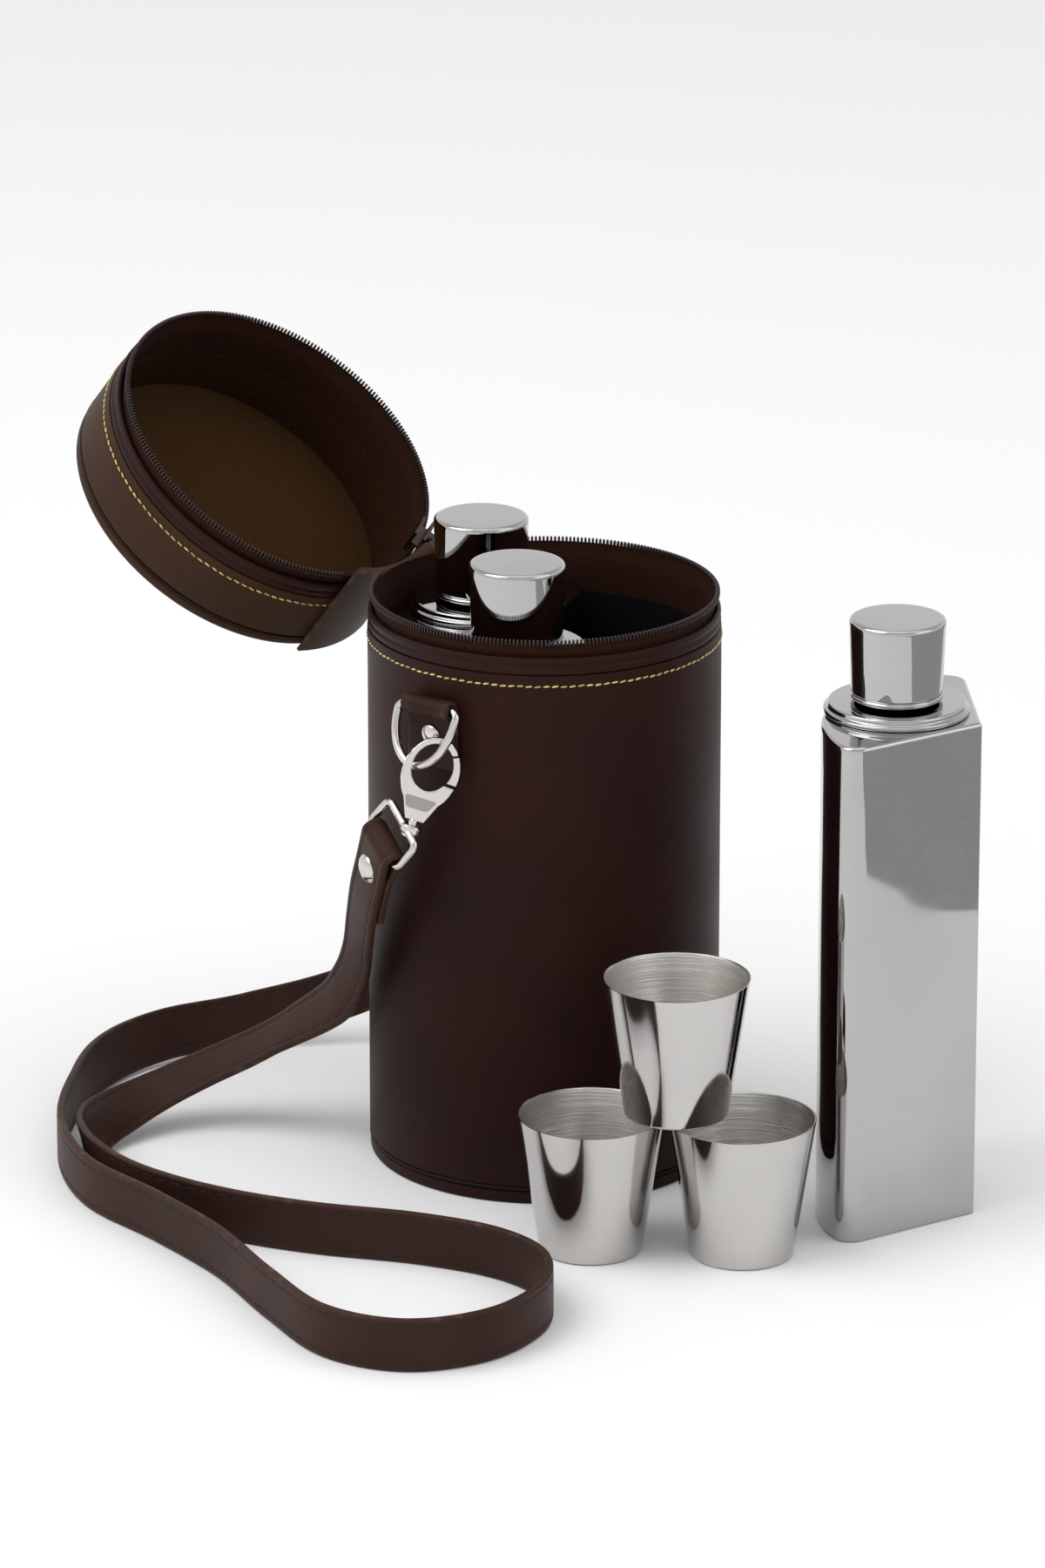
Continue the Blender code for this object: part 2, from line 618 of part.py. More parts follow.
# ---- flasks and cups ----------------------------------------------------------------------------
def sector(inset):
    """Plan of a flask, apex at the origin, as seen from above: its outline moved in by inset."""
    reach = SECTOR_RADIUS - SECTOR_CORNER
    swing = 60 - math.degrees(math.asin(SECTOR_CORNER / reach))
    corner = SECTOR_CORNER - inset
    tip = max(SECTOR_APEX - inset, 0.05)
    tip_at = (inset + tip) / math.sin(math.radians(60))
    lower = (reach * math.cos(math.radians(swing)), -reach * math.sin(math.radians(swing)))
    upper = (lower[0], -lower[1])
    big = SECTOR_RADIUS - inset
    edge = inset / math.sin(math.radians(60))
    side = [(edge + d * 0.5, d * math.sin(math.radians(60))) for d in SIDE_POINTS]
    return (arc(lower, (corner, corner), -150, -swing, 6)
            + arc((0, 0), (big, big), -swing, swing, 9)[1:-1]
            + arc(upper, (corner, corner), swing, 150, 6)
            + side
            + arc((tip_at, 0), (tip, tip), 150, 210, 4)
            + [(x, -y) for x, y in reversed(side)])


def mouth(radius):
    """A circle round the cap axis whose points face those of the sector outline."""
    points = []
    for x, y in sector(0):
        towards = math.atan2(y, x - CAP_FROM_APEX)
        points.append((CAP_FROM_APEX + radius * math.cos(towards), radius * math.sin(towards)))
    return points


def flask_shell():
    """The flask's drawn body: one wall, open below, with a round mouth in its shoulder."""
    low = 0.6 + GAP
    under = SHOULDER - FLASK_WALL
    levels = [(sector(0), low), (sector(0), SHOULDER - 1.8), (sector(0.45), SHOULDER - 0.7),
              (sector(1.6), SHOULDER), (mouth(FLASK_MOUTH), SHOULDER), (mouth(FLASK_MOUTH), under),
              (sector(2.0), under), (sector(FLASK_WALL), SHOULDER - 1.8),
              (sector(FLASK_WALL), low)]
    return loft([[Vector((x, y, z)) for x, y in outline] for outline, z in levels])


def flask_plate():
    """The base plate that closes the flask."""
    return loft([[Vector((x, y, z)) for x, y in sector(0)] for z in (0, 0.6)], around=False)


def collar_profile():
    """Section of the collar and its threaded neck, turned from one piece."""
    seat = SHOULDER + GAP
    return [(9.4, 179.5), (10.2, 179.5), (10.2, seat), (25.5, seat), (25.5, 183.6),
            (24.05, 184.4), (24.05, 185.9), (12.6, 185.9), (12.6, 190.0), (13.6, 191.0),
            (13.6, 208.0), (12.6, NECK_TOP), (9.4, NECK_TOP)]


def cap_profile():
    """Section of the screw cap."""
    low, top = 187.3, CAP_TOP
    return [(0, top), (15.6, top), (16.87, top - 1.3), (15.95, 189.2), (16.15, 188.6),
            (16.15, low), (14.9, low), (15.2, top - 1.0), (0, top - 1.0)]


def build_flask(name, apex, heading, floor):
    """One flask with its base, collar, cap and seal, on an empty at its apex."""
    holder = empty(f"{name}_place", (*apex, floor), (0, 0, math.radians(heading)))
    axis = Vector((CAP_FROM_APEX, 0, 0))
    on_axis = Matrix.Translation(axis)
    new_object(f"{name}_body", flask_shell(), "steel", parent=holder)
    new_object(f"{name}_base", flask_plate(), "steel", parent=holder)
    collar = moved(lathe(collar_profile(), FLASK_STEPS), on_axis)
    new_object(f"{name}_collar", collar, "steel", axis, holder)
    cap = moved(lathe(cap_profile(), FLASK_STEPS), on_axis)
    new_object(f"{name}_cap", cap, "steel", axis, holder)
    seal = moved(disc(13.8, NECK_TOP + GAP, CAP_TOP - 1.0 - GAP, steps=16), on_axis)
    new_object(f"{name}_seal", seal, "rubber", axis, holder)


def build_flasks():
    """Two flasks stand in their thirds of the case and the third stands beside it."""
    for name, heading in FLASK_SLOTS.items():
        turn = math.radians(heading)
        apex = (APEX_OFFSET * math.cos(turn), APEX_OFFSET * math.sin(turn))
        build_flask(name, apex, heading, FLASK_FLOOR)
    name, cap_at, heading = LOOSE_FLASK
    turn = math.radians(heading)
    apex = (cap_at[0] - CAP_FROM_APEX * math.cos(turn), cap_at[1] - CAP_FROM_APEX * math.sin(turn))
    build_flask(name, apex, heading, 0)


def build_cups():
    """Three tapered cups, the third standing on the rims of the other two."""
    foot, rim, wall = CUP_FOOT, CUP_RIM, CUP_WALL
    profile = [(0, 0), (foot - 1.3, 0), (foot - 0.3, 0.45), (foot, 1.5), (rim, CUP_HEIGHT),
               (rim - wall, CUP_HEIGHT), (foot - wall, 1.9), (foot - 1.5, wall), (0, wall)]
    for name, place in CUPS.items():
        cup = new_object(name, lathe(profile, CUP_STEPS), "steel")
        cup.location = Vector(place) * MM


def main():
    """Build the canteen."""
    clear_scene()
    build_case()
    build_lid()
    for word, side in (("left", 1), ("right", -1)):
        build_side(word, side)
    build_strap()
    build_flasks()
    build_cups()


main()
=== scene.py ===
"""Canteen: a zip-lidded leather case with a strap, three sector flasks and three cups."""

from __future__ import annotations

import json
import logging
import math
from dataclasses import dataclass
from enum import Enum
from typing import Callable, Iterable, Sequence

import bmesh
import bpy
from mathutils import Matrix, Vector

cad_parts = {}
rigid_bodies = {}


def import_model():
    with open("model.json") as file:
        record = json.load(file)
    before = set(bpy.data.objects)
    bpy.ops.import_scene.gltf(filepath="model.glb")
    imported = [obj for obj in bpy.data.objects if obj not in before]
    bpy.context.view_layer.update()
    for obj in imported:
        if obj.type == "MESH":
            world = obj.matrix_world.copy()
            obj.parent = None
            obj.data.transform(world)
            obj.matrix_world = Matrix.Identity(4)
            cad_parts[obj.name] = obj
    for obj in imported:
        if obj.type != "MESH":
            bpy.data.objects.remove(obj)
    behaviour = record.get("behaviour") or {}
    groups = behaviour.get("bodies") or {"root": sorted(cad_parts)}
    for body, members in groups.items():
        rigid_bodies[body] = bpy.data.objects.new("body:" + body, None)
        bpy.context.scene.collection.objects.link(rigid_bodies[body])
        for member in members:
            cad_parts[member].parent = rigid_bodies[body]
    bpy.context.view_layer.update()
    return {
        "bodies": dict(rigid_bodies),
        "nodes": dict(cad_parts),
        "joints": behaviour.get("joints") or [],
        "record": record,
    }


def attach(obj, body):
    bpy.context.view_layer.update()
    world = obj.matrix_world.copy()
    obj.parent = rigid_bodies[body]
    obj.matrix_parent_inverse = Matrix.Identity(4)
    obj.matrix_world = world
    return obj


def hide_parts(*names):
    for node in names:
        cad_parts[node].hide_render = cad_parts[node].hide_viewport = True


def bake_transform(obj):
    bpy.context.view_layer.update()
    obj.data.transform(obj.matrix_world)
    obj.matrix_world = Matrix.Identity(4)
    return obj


LOG = logging.getLogger("canteen")
MM = 0.001
ON_AXIS = 1e-6  # a section's point nearer to the axis than this, in millimetres, lies on it
ROUND_STEPS = 192  # pieces in a full turn of the case or the lid
CORNER_SHARE = 0.48  # the share of a side that one rounded corner may take
UP = Vector((0.0, 0.0, 1.0))

Point = tuple[float, float]


# ---- node graphs --------------------------------------------------------------------------------
# how many of each mark lie along one metre of surface
PORES, CLOUDS, SCUFFS = 5200.0, 19.0, 230.0
SLUBS, TAPE_FUZZ, WIPES = 420.0, 1900.0, 34.0
STREAKS_ROUND = 22.0
TONE_PATCHES, THREAD_TONES, THREAD_TWISTS, MOULD_MARKS = 160.0, 330.0, 6000.0, 2600.0


class Graph:
    """A node tree with short calls for adding nodes and joining them."""

    def __init__(self, tree: bpy.types.NodeTree) -> None:
        """Work on the given tree."""
        self.tree = tree

    def node(self, kind: str, **settings: object) -> bpy.types.Node:
        """Add a node.

        Args:
            kind: Blender's name for the node type.
            settings: attributes to set on it.

        Returns:
            The new node.
        """
        made = self.tree.nodes.new(kind)
        for name, value in settings.items():
            setattr(made, name, value)
        return made

    def join(self, source: object, target: bpy.types.NodeSocket) -> None:
        """Link a socket to an input, or set the input to a number or colour.

        Args:
            source: a socket, a number or a colour.
            target: the input that takes it.
        """
        if isinstance(source, bpy.types.NodeSocket):
            self.tree.links.new(source, target)
        else:
            target.default_value = source

    def math(self, operation: str, *values: object) -> bpy.types.NodeSocket:
        """Add a Math node.

        Args:
            operation: the Math operation.
            values: its inputs, as sockets or numbers.

        Returns:
            The node's output.
        """
        made = self.node("ShaderNodeMath", operation=operation)
        for value, target in zip(values, made.inputs):
            self.join(value, target)
        return made.outputs[0]

    def ramp(self, value: object, low: float, high: float, start: float = 0.0,
             end: float = 1.0) -> bpy.types.NodeSocket:
        """Map a value smoothly from low..high to start..end.

        Args:
            value: the value to map.
            low: its lower end.
            high: its upper end.
            start: what the lower end becomes.
            end: what the upper end becomes.

        Returns:
            The mapped value.
        """
        made = self.node("ShaderNodeMapRange", interpolation_type="SMOOTHSTEP")
        for source, target in zip((value, low, high, start, end), made.inputs):
            self.join(source, target)
        return made.outputs[0]

    def mix(self, share: object, one: object, two: object) -> bpy.types.NodeSocket:
        """Mix two colours by a share.

        Args:
            share: how much of the second colour.
            one: the first colour.
            two: the second colour.

        Returns:
            The mixed colour.
        """
        made = self.node("ShaderNodeMix", data_type="RGBA")
        self.join(share, made.inputs[0])
        self.join(one, made.inputs[6])
        self.join(two, made.inputs[7])
        return made.outputs[2]

    def noise(self, place: object, scale: float, detail: float = 2.0) -> bpy.types.NodeSocket:
        """Add a noise texture at a place and return its value.

        Args:
            place: where the pattern lies.
            scale: its fineness.
            detail: its depth of detail.

        Returns:
            The pattern's value.
        """
        made = self.node("ShaderNodeTexNoise")
        self.join(place, made.inputs["Vector"])
        self.join(scale, made.inputs["Scale"])
        self.join(detail, made.inputs["Detail"])
        return made.outputs[0]

    def position(self) -> bpy.types.NodeSocket:
        """The surface's position in the object's own space, in metres."""
        return self.node("ShaderNodeTexCoord").outputs["Object"]

    def unrolled(self) -> tuple[bpy.types.NodeSocket, bpy.types.NodeSocket]:
        """The two distances along an unrolled surface, in metres.

        Returns:
            The distance across and the distance along.
        """
        laid = self.node("ShaderNodeUVMap", uv_map="unrolled")
        parts = self.node("ShaderNodeSeparateXYZ")
        self.join(laid.outputs[0], parts.inputs[0])
        return parts.outputs[0], parts.outputs[1]


def shared_group(name: str, inputs: Sequence[tuple[str, float]], outputs: Sequence[str],
                 fill: Callable[[Graph, dict], dict]) -> bpy.types.NodeTree:
    """Make a shader node group once.

    Args:
        name: the group's name.
        inputs: names and usual values of its inputs.
        outputs: names of its outputs, all plain values.
        fill: builds the inside and returns the socket for each output.

    Returns:
        The group's node tree.
    """
    found = bpy.data.node_groups.get(name)
    if found:
        return found
    tree = bpy.data.node_groups.new(name, "ShaderNodeTree")
    for label, value in inputs:
        socket = tree.interface.new_socket(label, in_out="INPUT", socket_type="NodeSocketFloat")
        socket.default_value = value
    for label in outputs:
        tree.interface.new_socket(label, in_out="OUTPUT", socket_type="NodeSocketFloat")
    graph = Graph(tree)
    entry, leave = graph.node("NodeGroupInput"), graph.node("NodeGroupOutput")
    made = fill(graph, {label: entry.outputs[label] for label, _ in inputs})
    for label in outputs:
        graph.join(made[label], leave.inputs[label])
    return tree


def hide_grain() -> bpy.types.NodeTree:
    """Fine pebble grain, cloudy tone and small scuffs of a finished hide.

    Returns:
        The group.
    """

    def fill(graph: Graph, given: dict) -> dict:
        """Build the inside of the group.

        Args:
            graph: the graph to add nodes to.
            given: the group's inputs by name.

        Returns:
            The socket for each output.
        """
        place = graph.position()
        cells = graph.node("ShaderNodeTexVoronoi", feature="DISTANCE_TO_EDGE")
        graph.join(place, cells.inputs["Vector"])
        graph.join(given["Cells per metre"], cells.inputs["Scale"])
        pebble = graph.ramp(cells.outputs["Distance"], 0.0, 0.22)
        pores = graph.noise(place, PORES, 3.0)
        height = graph.math("ADD", pebble, graph.math("MULTIPLY", pores, 0.45))
        cloud = graph.noise(place, CLOUDS, 4.0)
        scuff = graph.ramp(graph.noise(place, SCUFFS, 5.0), 0.54, 0.72)
        return {"Height": height, "Cloud": cloud, "Scuff": scuff}

    return shared_group("hide_grain", [("Cells per metre", 1700.0)],
                        ["Height", "Cloud", "Scuff"], fill)


def plain_weave() -> bpy.types.NodeTree:
    """Over-and-under threads of a plain woven cloth.

    Returns:
        The group.
    """

    def fill(graph: Graph, given: dict) -> dict:
        """Build the inside of the group.

        Args:
            graph: the graph to add nodes to.
            given: the group's inputs by name.

        Returns:
            The socket for each output.
        """
        across, along = graph.unrolled()
        one = graph.math("MULTIPLY", across, given["Threads per metre"])
        two = graph.math("MULTIPLY", along, given["Threads per metre"])
        warp = graph.math("ABSOLUTE", graph.math("SINE", graph.math("MULTIPLY", one, math.pi)))
        weft = graph.math("ABSOLUTE", graph.math("SINE", graph.math("MULTIPLY", two, math.pi)))
        row = graph.math("ADD", graph.math("FLOOR", one), graph.math("FLOOR", two))
        over = graph.math("MODULO", graph.math("ABSOLUTE", row), 2.0)
        under = graph.math("SUBTRACT", 1.0, over)
        height = graph.math("ADD", graph.math("MULTIPLY", warp, over),
                            graph.math("MULTIPLY", weft, under))
        slub = graph.noise(graph.position(), SLUBS, 3.0)
        return {"Height": height, "Slub": slub}

    return shared_group("plain_weave", [("Threads per metre", 1500.0)], ["Height", "Slub"], fill)


def herringbone() -> bpy.types.NodeTree:
    """Chevron ribs of a woven zip tape.

    Returns:
        The group.
    """

    def fill(graph: Graph, given: dict) -> dict:
        """Build the inside of the group.

        Args:
            graph: the graph to add nodes to.
            given: the group's inputs by name.

        Returns:
            The socket for each output.
        """
        across, along = graph.unrolled()
        fold = graph.math("PINGPONG", across, given["Rib width"])
        slant = graph.math("ADD", along, graph.math("MULTIPLY", fold, 1.1))
        turns = graph.math("MULTIPLY", slant, given["Ribs per metre"])
        rib = graph.math("ABSOLUTE", graph.math("SINE", graph.math("MULTIPLY", turns, math.pi)))
        fuzz = graph.noise(graph.position(), TAPE_FUZZ, 2.0)
        return {"Height": graph.math("ADD", rib, graph.math("MULTIPLY", fuzz, 0.3)), "Rib": rib}

    return shared_group("herringbone", [("Rib width", 0.0023), ("Ribs per metre", 900.0)],
                        ["Height", "Rib"], fill)


def hand_polish() -> bpy.types.NodeTree:
    """The slight waviness and wiping marks of polished metal.

    Returns:
        The group.
    """

    def fill(graph: Graph, given: dict) -> dict:
        """Build the inside of the group.

        Args:
            graph: the graph to add nodes to.
            given: the group's inputs by name.

        Returns:
            The socket for each output.
        """
        place = graph.position()
        wave = graph.noise(place, given["Waves per metre"], 1.0)
        wiped = graph.noise(place, WIPES, 3.0)
        return {"Wave": wave, "Wiped": graph.ramp(wiped, 0.35, 0.8)}

    return shared_group("hand_polish", [("Waves per metre", 26.0)], ["Wave", "Wiped"], fill)


def turned_lines() -> bpy.types.NodeTree:
    """Fine lines that run round a spun metal surface.

    Returns:
        The group.
    """

    def fill(graph: Graph, given: dict) -> dict:
        """Build the inside of the group.

        Args:
            graph: the graph to add nodes to.
            given: the group's inputs by name.

        Returns:
            The socket for each output.
        """
        across, along = graph.unrolled()
        laid = graph.node("ShaderNodeCombineXYZ")
        graph.join(graph.math("MULTIPLY", across, STREAKS_ROUND), laid.inputs[0])
        graph.join(graph.math("MULTIPLY", along, given["Lines per metre"]), laid.inputs[1])
        line = graph.noise(laid.outputs[0], 1.0, 5.0)
        return {"Line": graph.ramp(line, 0.3, 0.7)}

    return shared_group("turned_lines", [("Lines per metre", 3400.0)], ["Line"], fill)


# ---- finishes -----------------------------------------------------------------------------------
@dataclass(frozen=True)
class Finish:
    """A named surface finish, made into a material once."""

    name: str
    colour: tuple[float, float, float]
    roughness: float = 0.5

    def material(self) -> bpy.types.Material:
        """Return the material, and build it at the first call.

        Returns:
            The material.
        """
        found = bpy.data.materials.get(self.name)
        if found:
            return found
        made = bpy.data.materials.new(self.name)
        made.use_nodes = True
        made.diffuse_color = (*self.colour, 1.0)
        graph = Graph(made.node_tree)
        shader = made.node_tree.nodes["Principled BSDF"]
        shader.inputs["Base Color"].default_value = (*self.colour, 1.0)
        shader.inputs["Roughness"].default_value = self.roughness
        self.dress(graph, shader)
        return made

    def dress(self, graph: Graph, shader: bpy.types.Node) -> None:
        """Add the finish's own nodes; a plain finish has a faint tone variation.

        Args:
            graph: the graph to add nodes to.
            shader: the material's Principled BSDF.
        """
        tone = graph.noise(graph.position(), TONE_PATCHES, 4.0)
        graph.join(graph.mix(tone, self.shade(0.75), self.shade(1.25)),
                   shader.inputs["Base Color"])

    def shade(self, times: float) -> tuple[float, float, float, float]:
        """The finish's colour, lighter or darker."""
        return (*(min(1.0, part * times) for part in self.colour), 1.0)

    @staticmethod
    def group(graph: Graph, tree: bpy.types.NodeTree, **values: float) -> bpy.types.Node:
        """Place a shared group in a material.

        Args:
            graph: the material's graph.
            tree: the shared group.
            values: this material's own values, with _ for a space in a name.

        Returns:
            The group node.
        """
        made = graph.node("ShaderNodeGroup")
        made.node_tree = tree
        for label, value in values.items():
            made.inputs[label.replace("_", " ")].default_value = value
        return made

    @staticmethod
    def bump(graph: Graph, shader: bpy.types.Node, height: object, depth: float,
             strength: float = 1.0) -> None:
        """Feed a height to the shader's normal; depth is in metres.

        Args:
            graph: the graph to add nodes to.
            shader: the material's Principled BSDF.
            height: the height to raise.
            depth: how deep it is, in metres.
            strength: how much of it shows.
        """
        made = graph.node("ShaderNodeBump")
        made.inputs["Strength"].default_value = strength
        made.inputs["Distance"].default_value = depth
        graph.join(height, made.inputs["Height"])
        graph.join(made.outputs[0], shader.inputs["Normal"])


@dataclass(frozen=True)
class Hide(Finish):
    """Finished leather with grain, cloudy tone and edges rubbed lighter."""

    cells: float = 1700.0
    depth: float = 0.00006
    rubbed: tuple[float, float, float] = (0.12, 0.07, 0.05)
    gloss: float = 0.12

    def dress(self, graph: Graph, shader: bpy.types.Node) -> None:
        """Add grain, tone and rubbed edges.

        Args:
            graph: the graph to add nodes to.
            shader: the material's Principled BSDF.
        """
        grain = self.group(graph, hide_grain(), Cells_per_metre=self.cells)
        edge = graph.node("ShaderNodeAttribute", attribute_name="edge")
        tone = graph.mix(graph.ramp(grain.outputs["Cloud"], 0.3, 0.7),
                         self.shade(0.8), self.shade(1.22))
        rub = graph.math("MULTIPLY", edge.outputs["Fac"],
                         graph.math("ADD", graph.math("MULTIPLY", grain.outputs["Scuff"], 0.5),
                                    0.12))
        colour = graph.mix(rub, tone, (*self.rubbed, 1.0))
        graph.join(colour, shader.inputs["Base Color"])
        graph.join(graph.ramp(grain.outputs["Cloud"], 0.2, 0.8, self.roughness - 0.05,
                              self.roughness + 0.07), shader.inputs["Roughness"])
        shader.inputs["Specular IOR Level"].default_value = self.gloss
        self.bump(graph, shader, grain.outputs["Height"], self.depth, 0.55)


@dataclass(frozen=True)
class Cloth(Finish):
    """Plain woven cloth, with painted shade between its threads."""

    threads: float = 1500.0

    def dress(self, graph: Graph, shader: bpy.types.Node) -> None:
        """Add the weave, with painted shade between the threads.

        Args:
            graph: the graph to add nodes to.
            shader: the material's Principled BSDF.
        """
        weave = self.group(graph, plain_weave(), Threads_per_metre=self.threads)
        # painted shade: the colour follows the weave's height, darker in the gaps between the
        # threads
        tone = graph.mix(weave.outputs["Height"], self.shade(0.42), self.shade(1.35))
        slub = graph.mix(graph.ramp(weave.outputs["Slub"], 0.35, 0.7), tone, self.shade(1.1))
        graph.join(slub, shader.inputs["Base Color"])
        shader.inputs["Specular IOR Level"].default_value = 0.06
        self.bump(graph, shader, weave.outputs["Height"], 0.00025, 0.8)


@dataclass(frozen=True)
class Tape(Finish):
    """Herringbone zip tape, with painted shade in the grooves between its ribs."""

    def dress(self, graph: Graph, shader: bpy.types.Node) -> None:
        """Add the chevron ribs, with painted shade in their grooves.

        Args:
            graph: the graph to add nodes to.
            shader: the material's Principled BSDF.
        """
        ribs = self.group(graph, herringbone())
        # painted shade: the colour follows the ribs, darker in the grooves between them
        graph.join(graph.mix(ribs.outputs["Rib"], self.shade(0.45), self.shade(1.3)),
                   shader.inputs["Base Color"])
        shader.inputs["Specular IOR Level"].default_value = 0.1
        self.bump(graph, shader, ribs.outputs["Height"], 0.0003, 0.8)


@dataclass(frozen=True)
class Thread(Finish):
    """Twisted waxed thread."""

    def dress(self, graph: Graph, shader: bpy.types.Node) -> None:
        """Add tone from stitch to stitch and a fine twist.

        Args:
            graph: the graph to add nodes to.
            shader: the material's Principled BSDF.
        """
        tone = graph.noise(graph.position(), THREAD_TONES, 2.0)
        graph.join(graph.mix(graph.ramp(tone, 0.3, 0.7), self.shade(0.62), self.shade(1.3)),
                   shader.inputs["Base Color"])
        twist = graph.noise(graph.position(), THREAD_TWISTS, 2.0)
        self.bump(graph, shader, twist, 0.00008, 0.7)


@dataclass(frozen=True)
class Moulded(Finish):
    """Moulded plastic or rubber with a fine texture."""

    def dress(self, graph: Graph, shader: bpy.types.Node) -> None:
        """Add a fine texture and a slight tone variation.

        Args:
            graph: the graph to add nodes to.
            shader: the material's Principled BSDF.
        """
        fine = graph.noise(graph.position(), MOULD_MARKS, 2.0)
        graph.join(graph.mix(fine, self.shade(0.8), self.shade(1.2)),
                   shader.inputs["Base Color"])
        self.bump(graph, shader, fine, 0.00003, 0.5)


@dataclass(frozen=True)
class Metal(Finish):
    """Polished metal with slight waviness and wiping marks."""

    wave: float = 0.0006
    waves: float = 24.0

    def dress(self, graph: Graph, shader: bpy.types.Node) -> None:
        """Add waviness and uneven polish.

        Args:
            graph: the graph to add nodes to.
            shader: the material's Principled BSDF.
        """
        polish = self.group(graph, hand_polish(), Waves_per_metre=self.waves)
        shader.inputs["Metallic"].default_value = 1.0
        graph.join(graph.ramp(polish.outputs["Wiped"], 0.0, 1.0, self.roughness,
                              self.roughness + 0.025), shader.inputs["Roughness"])
        graph.join(graph.mix(polish.outputs["Wiped"], self.shade(1.02), self.shade(0.96)),
                   shader.inputs["Base Color"])
        self.bump(graph, shader, polish.outputs["Wave"], self.wave)


@dataclass(frozen=True)
class TurnedMetal(Finish):
    """Metal with fine lines running round it, with painted shade where they are low."""

    depth: float = 0.00006

    def dress(self, graph: Graph, shader: bpy.types.Node) -> None:
        """Add the turned lines, with painted shade where they are low.

        Args:
            graph: the graph to add nodes to.
            shader: the material's Principled BSDF.
        """
        lines = self.group(graph, turned_lines())
        shader.inputs["Metallic"].default_value = 1.0
        # painted shade: the colour follows the same lines as the bump, darker where they are low
        graph.join(graph.mix(lines.outputs["Line"], self.shade(0.72), self.shade(1.15)),
                   shader.inputs["Base Color"])
        graph.join(graph.ramp(lines.outputs["Line"], 0.0, 1.0, self.roughness + 0.1,
                              self.roughness - 0.06), shader.inputs["Roughness"])
        self.bump(graph, shader, lines.outputs["Line"], self.depth, 0.6)


CASE_HIDE = Hide("case_hide", (0.0190, 0.0046, 0.0027), 0.46, 1900.0, 0.00007)
LID_HIDE = Hide("lid_hide", (0.0400, 0.0165, 0.0062), 0.48, 1900.0, 0.00007)
RIM_HIDE = Hide("rim_hide", (0.0190, 0.0052, 0.0030), 0.44, 2200.0, 0.00005)
STRAP_HIDE = Hide("strap_hide", (0.0340, 0.0140, 0.0095), 0.44, 1300.0, 0.00010)
TAB_HIDE = Hide("tab_hide", (0.0220, 0.0075, 0.0045), 0.36, 1800.0, 0.00006)
PULL_HIDE = Hide("pull_hide", (0.085, 0.058, 0.050), 0.45, 1500.0, 0.00006)
PIPING_HIDE = Hide("piping_hide", (0.0100, 0.0040, 0.0030), 0.38, 2400.0, 0.00003)
LID_CLOTH = Cloth("lid_cloth", (0.0440, 0.0205, 0.0070), 0.9, 950.0)
# the lid's lining cloth again, darker and redder for the lid's inner wall: painted shade
LID_CLOTH_SHADED_COPY = Cloth("lid_cloth_painted_shade", (0.0290, 0.0110, 0.0045), 0.9, 1000.0)
CASE_CLOTH = Cloth("case_cloth", (0.0060, 0.0050, 0.0054), 0.65, 1300.0)
ZIP_TAPE = Tape("zip_tape_weave", (0.0260, 0.0085, 0.0045), 0.85)
ZIP_COIL = Moulded("zip_coil_nylon", (0.0150, 0.0055, 0.0036), 0.5)
CREAM_THREAD = Thread("cream_thread", (0.60, 0.46, 0.16), 0.6)
DARK_THREAD = Thread("dark_thread", (0.0070, 0.0022, 0.0015), 0.7)
BOARD = Finish("fibre_board", (0.12, 0.085, 0.055), 0.9)
SILICONE = Moulded("silicone_seal", (0.72, 0.70, 0.66), 0.45)
STEEL = Metal("polished_steel", (0.455, 0.448, 0.445), 0.035, 0.0014, 17.0)
CUP_STEEL = Metal("cup_steel", (0.56, 0.545, 0.53), 0.075, 0.00015, 60.0)
CUP_INSIDE = TurnedMetal("cup_turned_inside", (0.80, 0.78, 0.75), 0.26)
NICKEL = Metal("bright_nickel", (0.64, 0.61, 0.58), 0.10, 0.0001, 180.0)
# rougher nickel whose darker colour is painted shade of the hook's trigger recess
DULL_NICKEL_RECESS_SHADE = Metal("dull_nickel_recess_shade", (0.34, 0.32, 0.30), 0.22, 0.0001, 180.0)
DARK_METAL = Metal("browned_metal", (0.10, 0.075, 0.065), 0.30, 0.0001, 180.0)


class Slot(Enum):
    """The record's material slots named for the new pieces, which the pieces are not given."""

    LEATHER = "leather_brown"
    STRAP = "leather_strap"
    WELT = "welt_leather"
    LINING = "lining_fabric"
    TAPE = "zip_tape"
    COIL = "zip_coil"
    NICKEL = "nickel"
    STEEL = "steel_polished"


# ---- shapes, in millimetres ---------------------------------------------------------------------
def arc(centre: Point, radii: Point, start: float, end: float, count: int) -> list[Point]:
    """Points on an ellipse's arc, angles in degrees, both ends included.

    Args:
        centre: the ellipse's centre.
        radii: its two radii.
        start: the first angle.
        end: the last angle.
        count: how many points.

    Returns:
        The points.
    """
    angles = [math.radians(start + (end - start) * i / (count - 1)) for i in range(count)]
    return [(centre[0] + radii[0] * math.cos(a), centre[1] + radii[1] * math.sin(a))
            for a in angles]


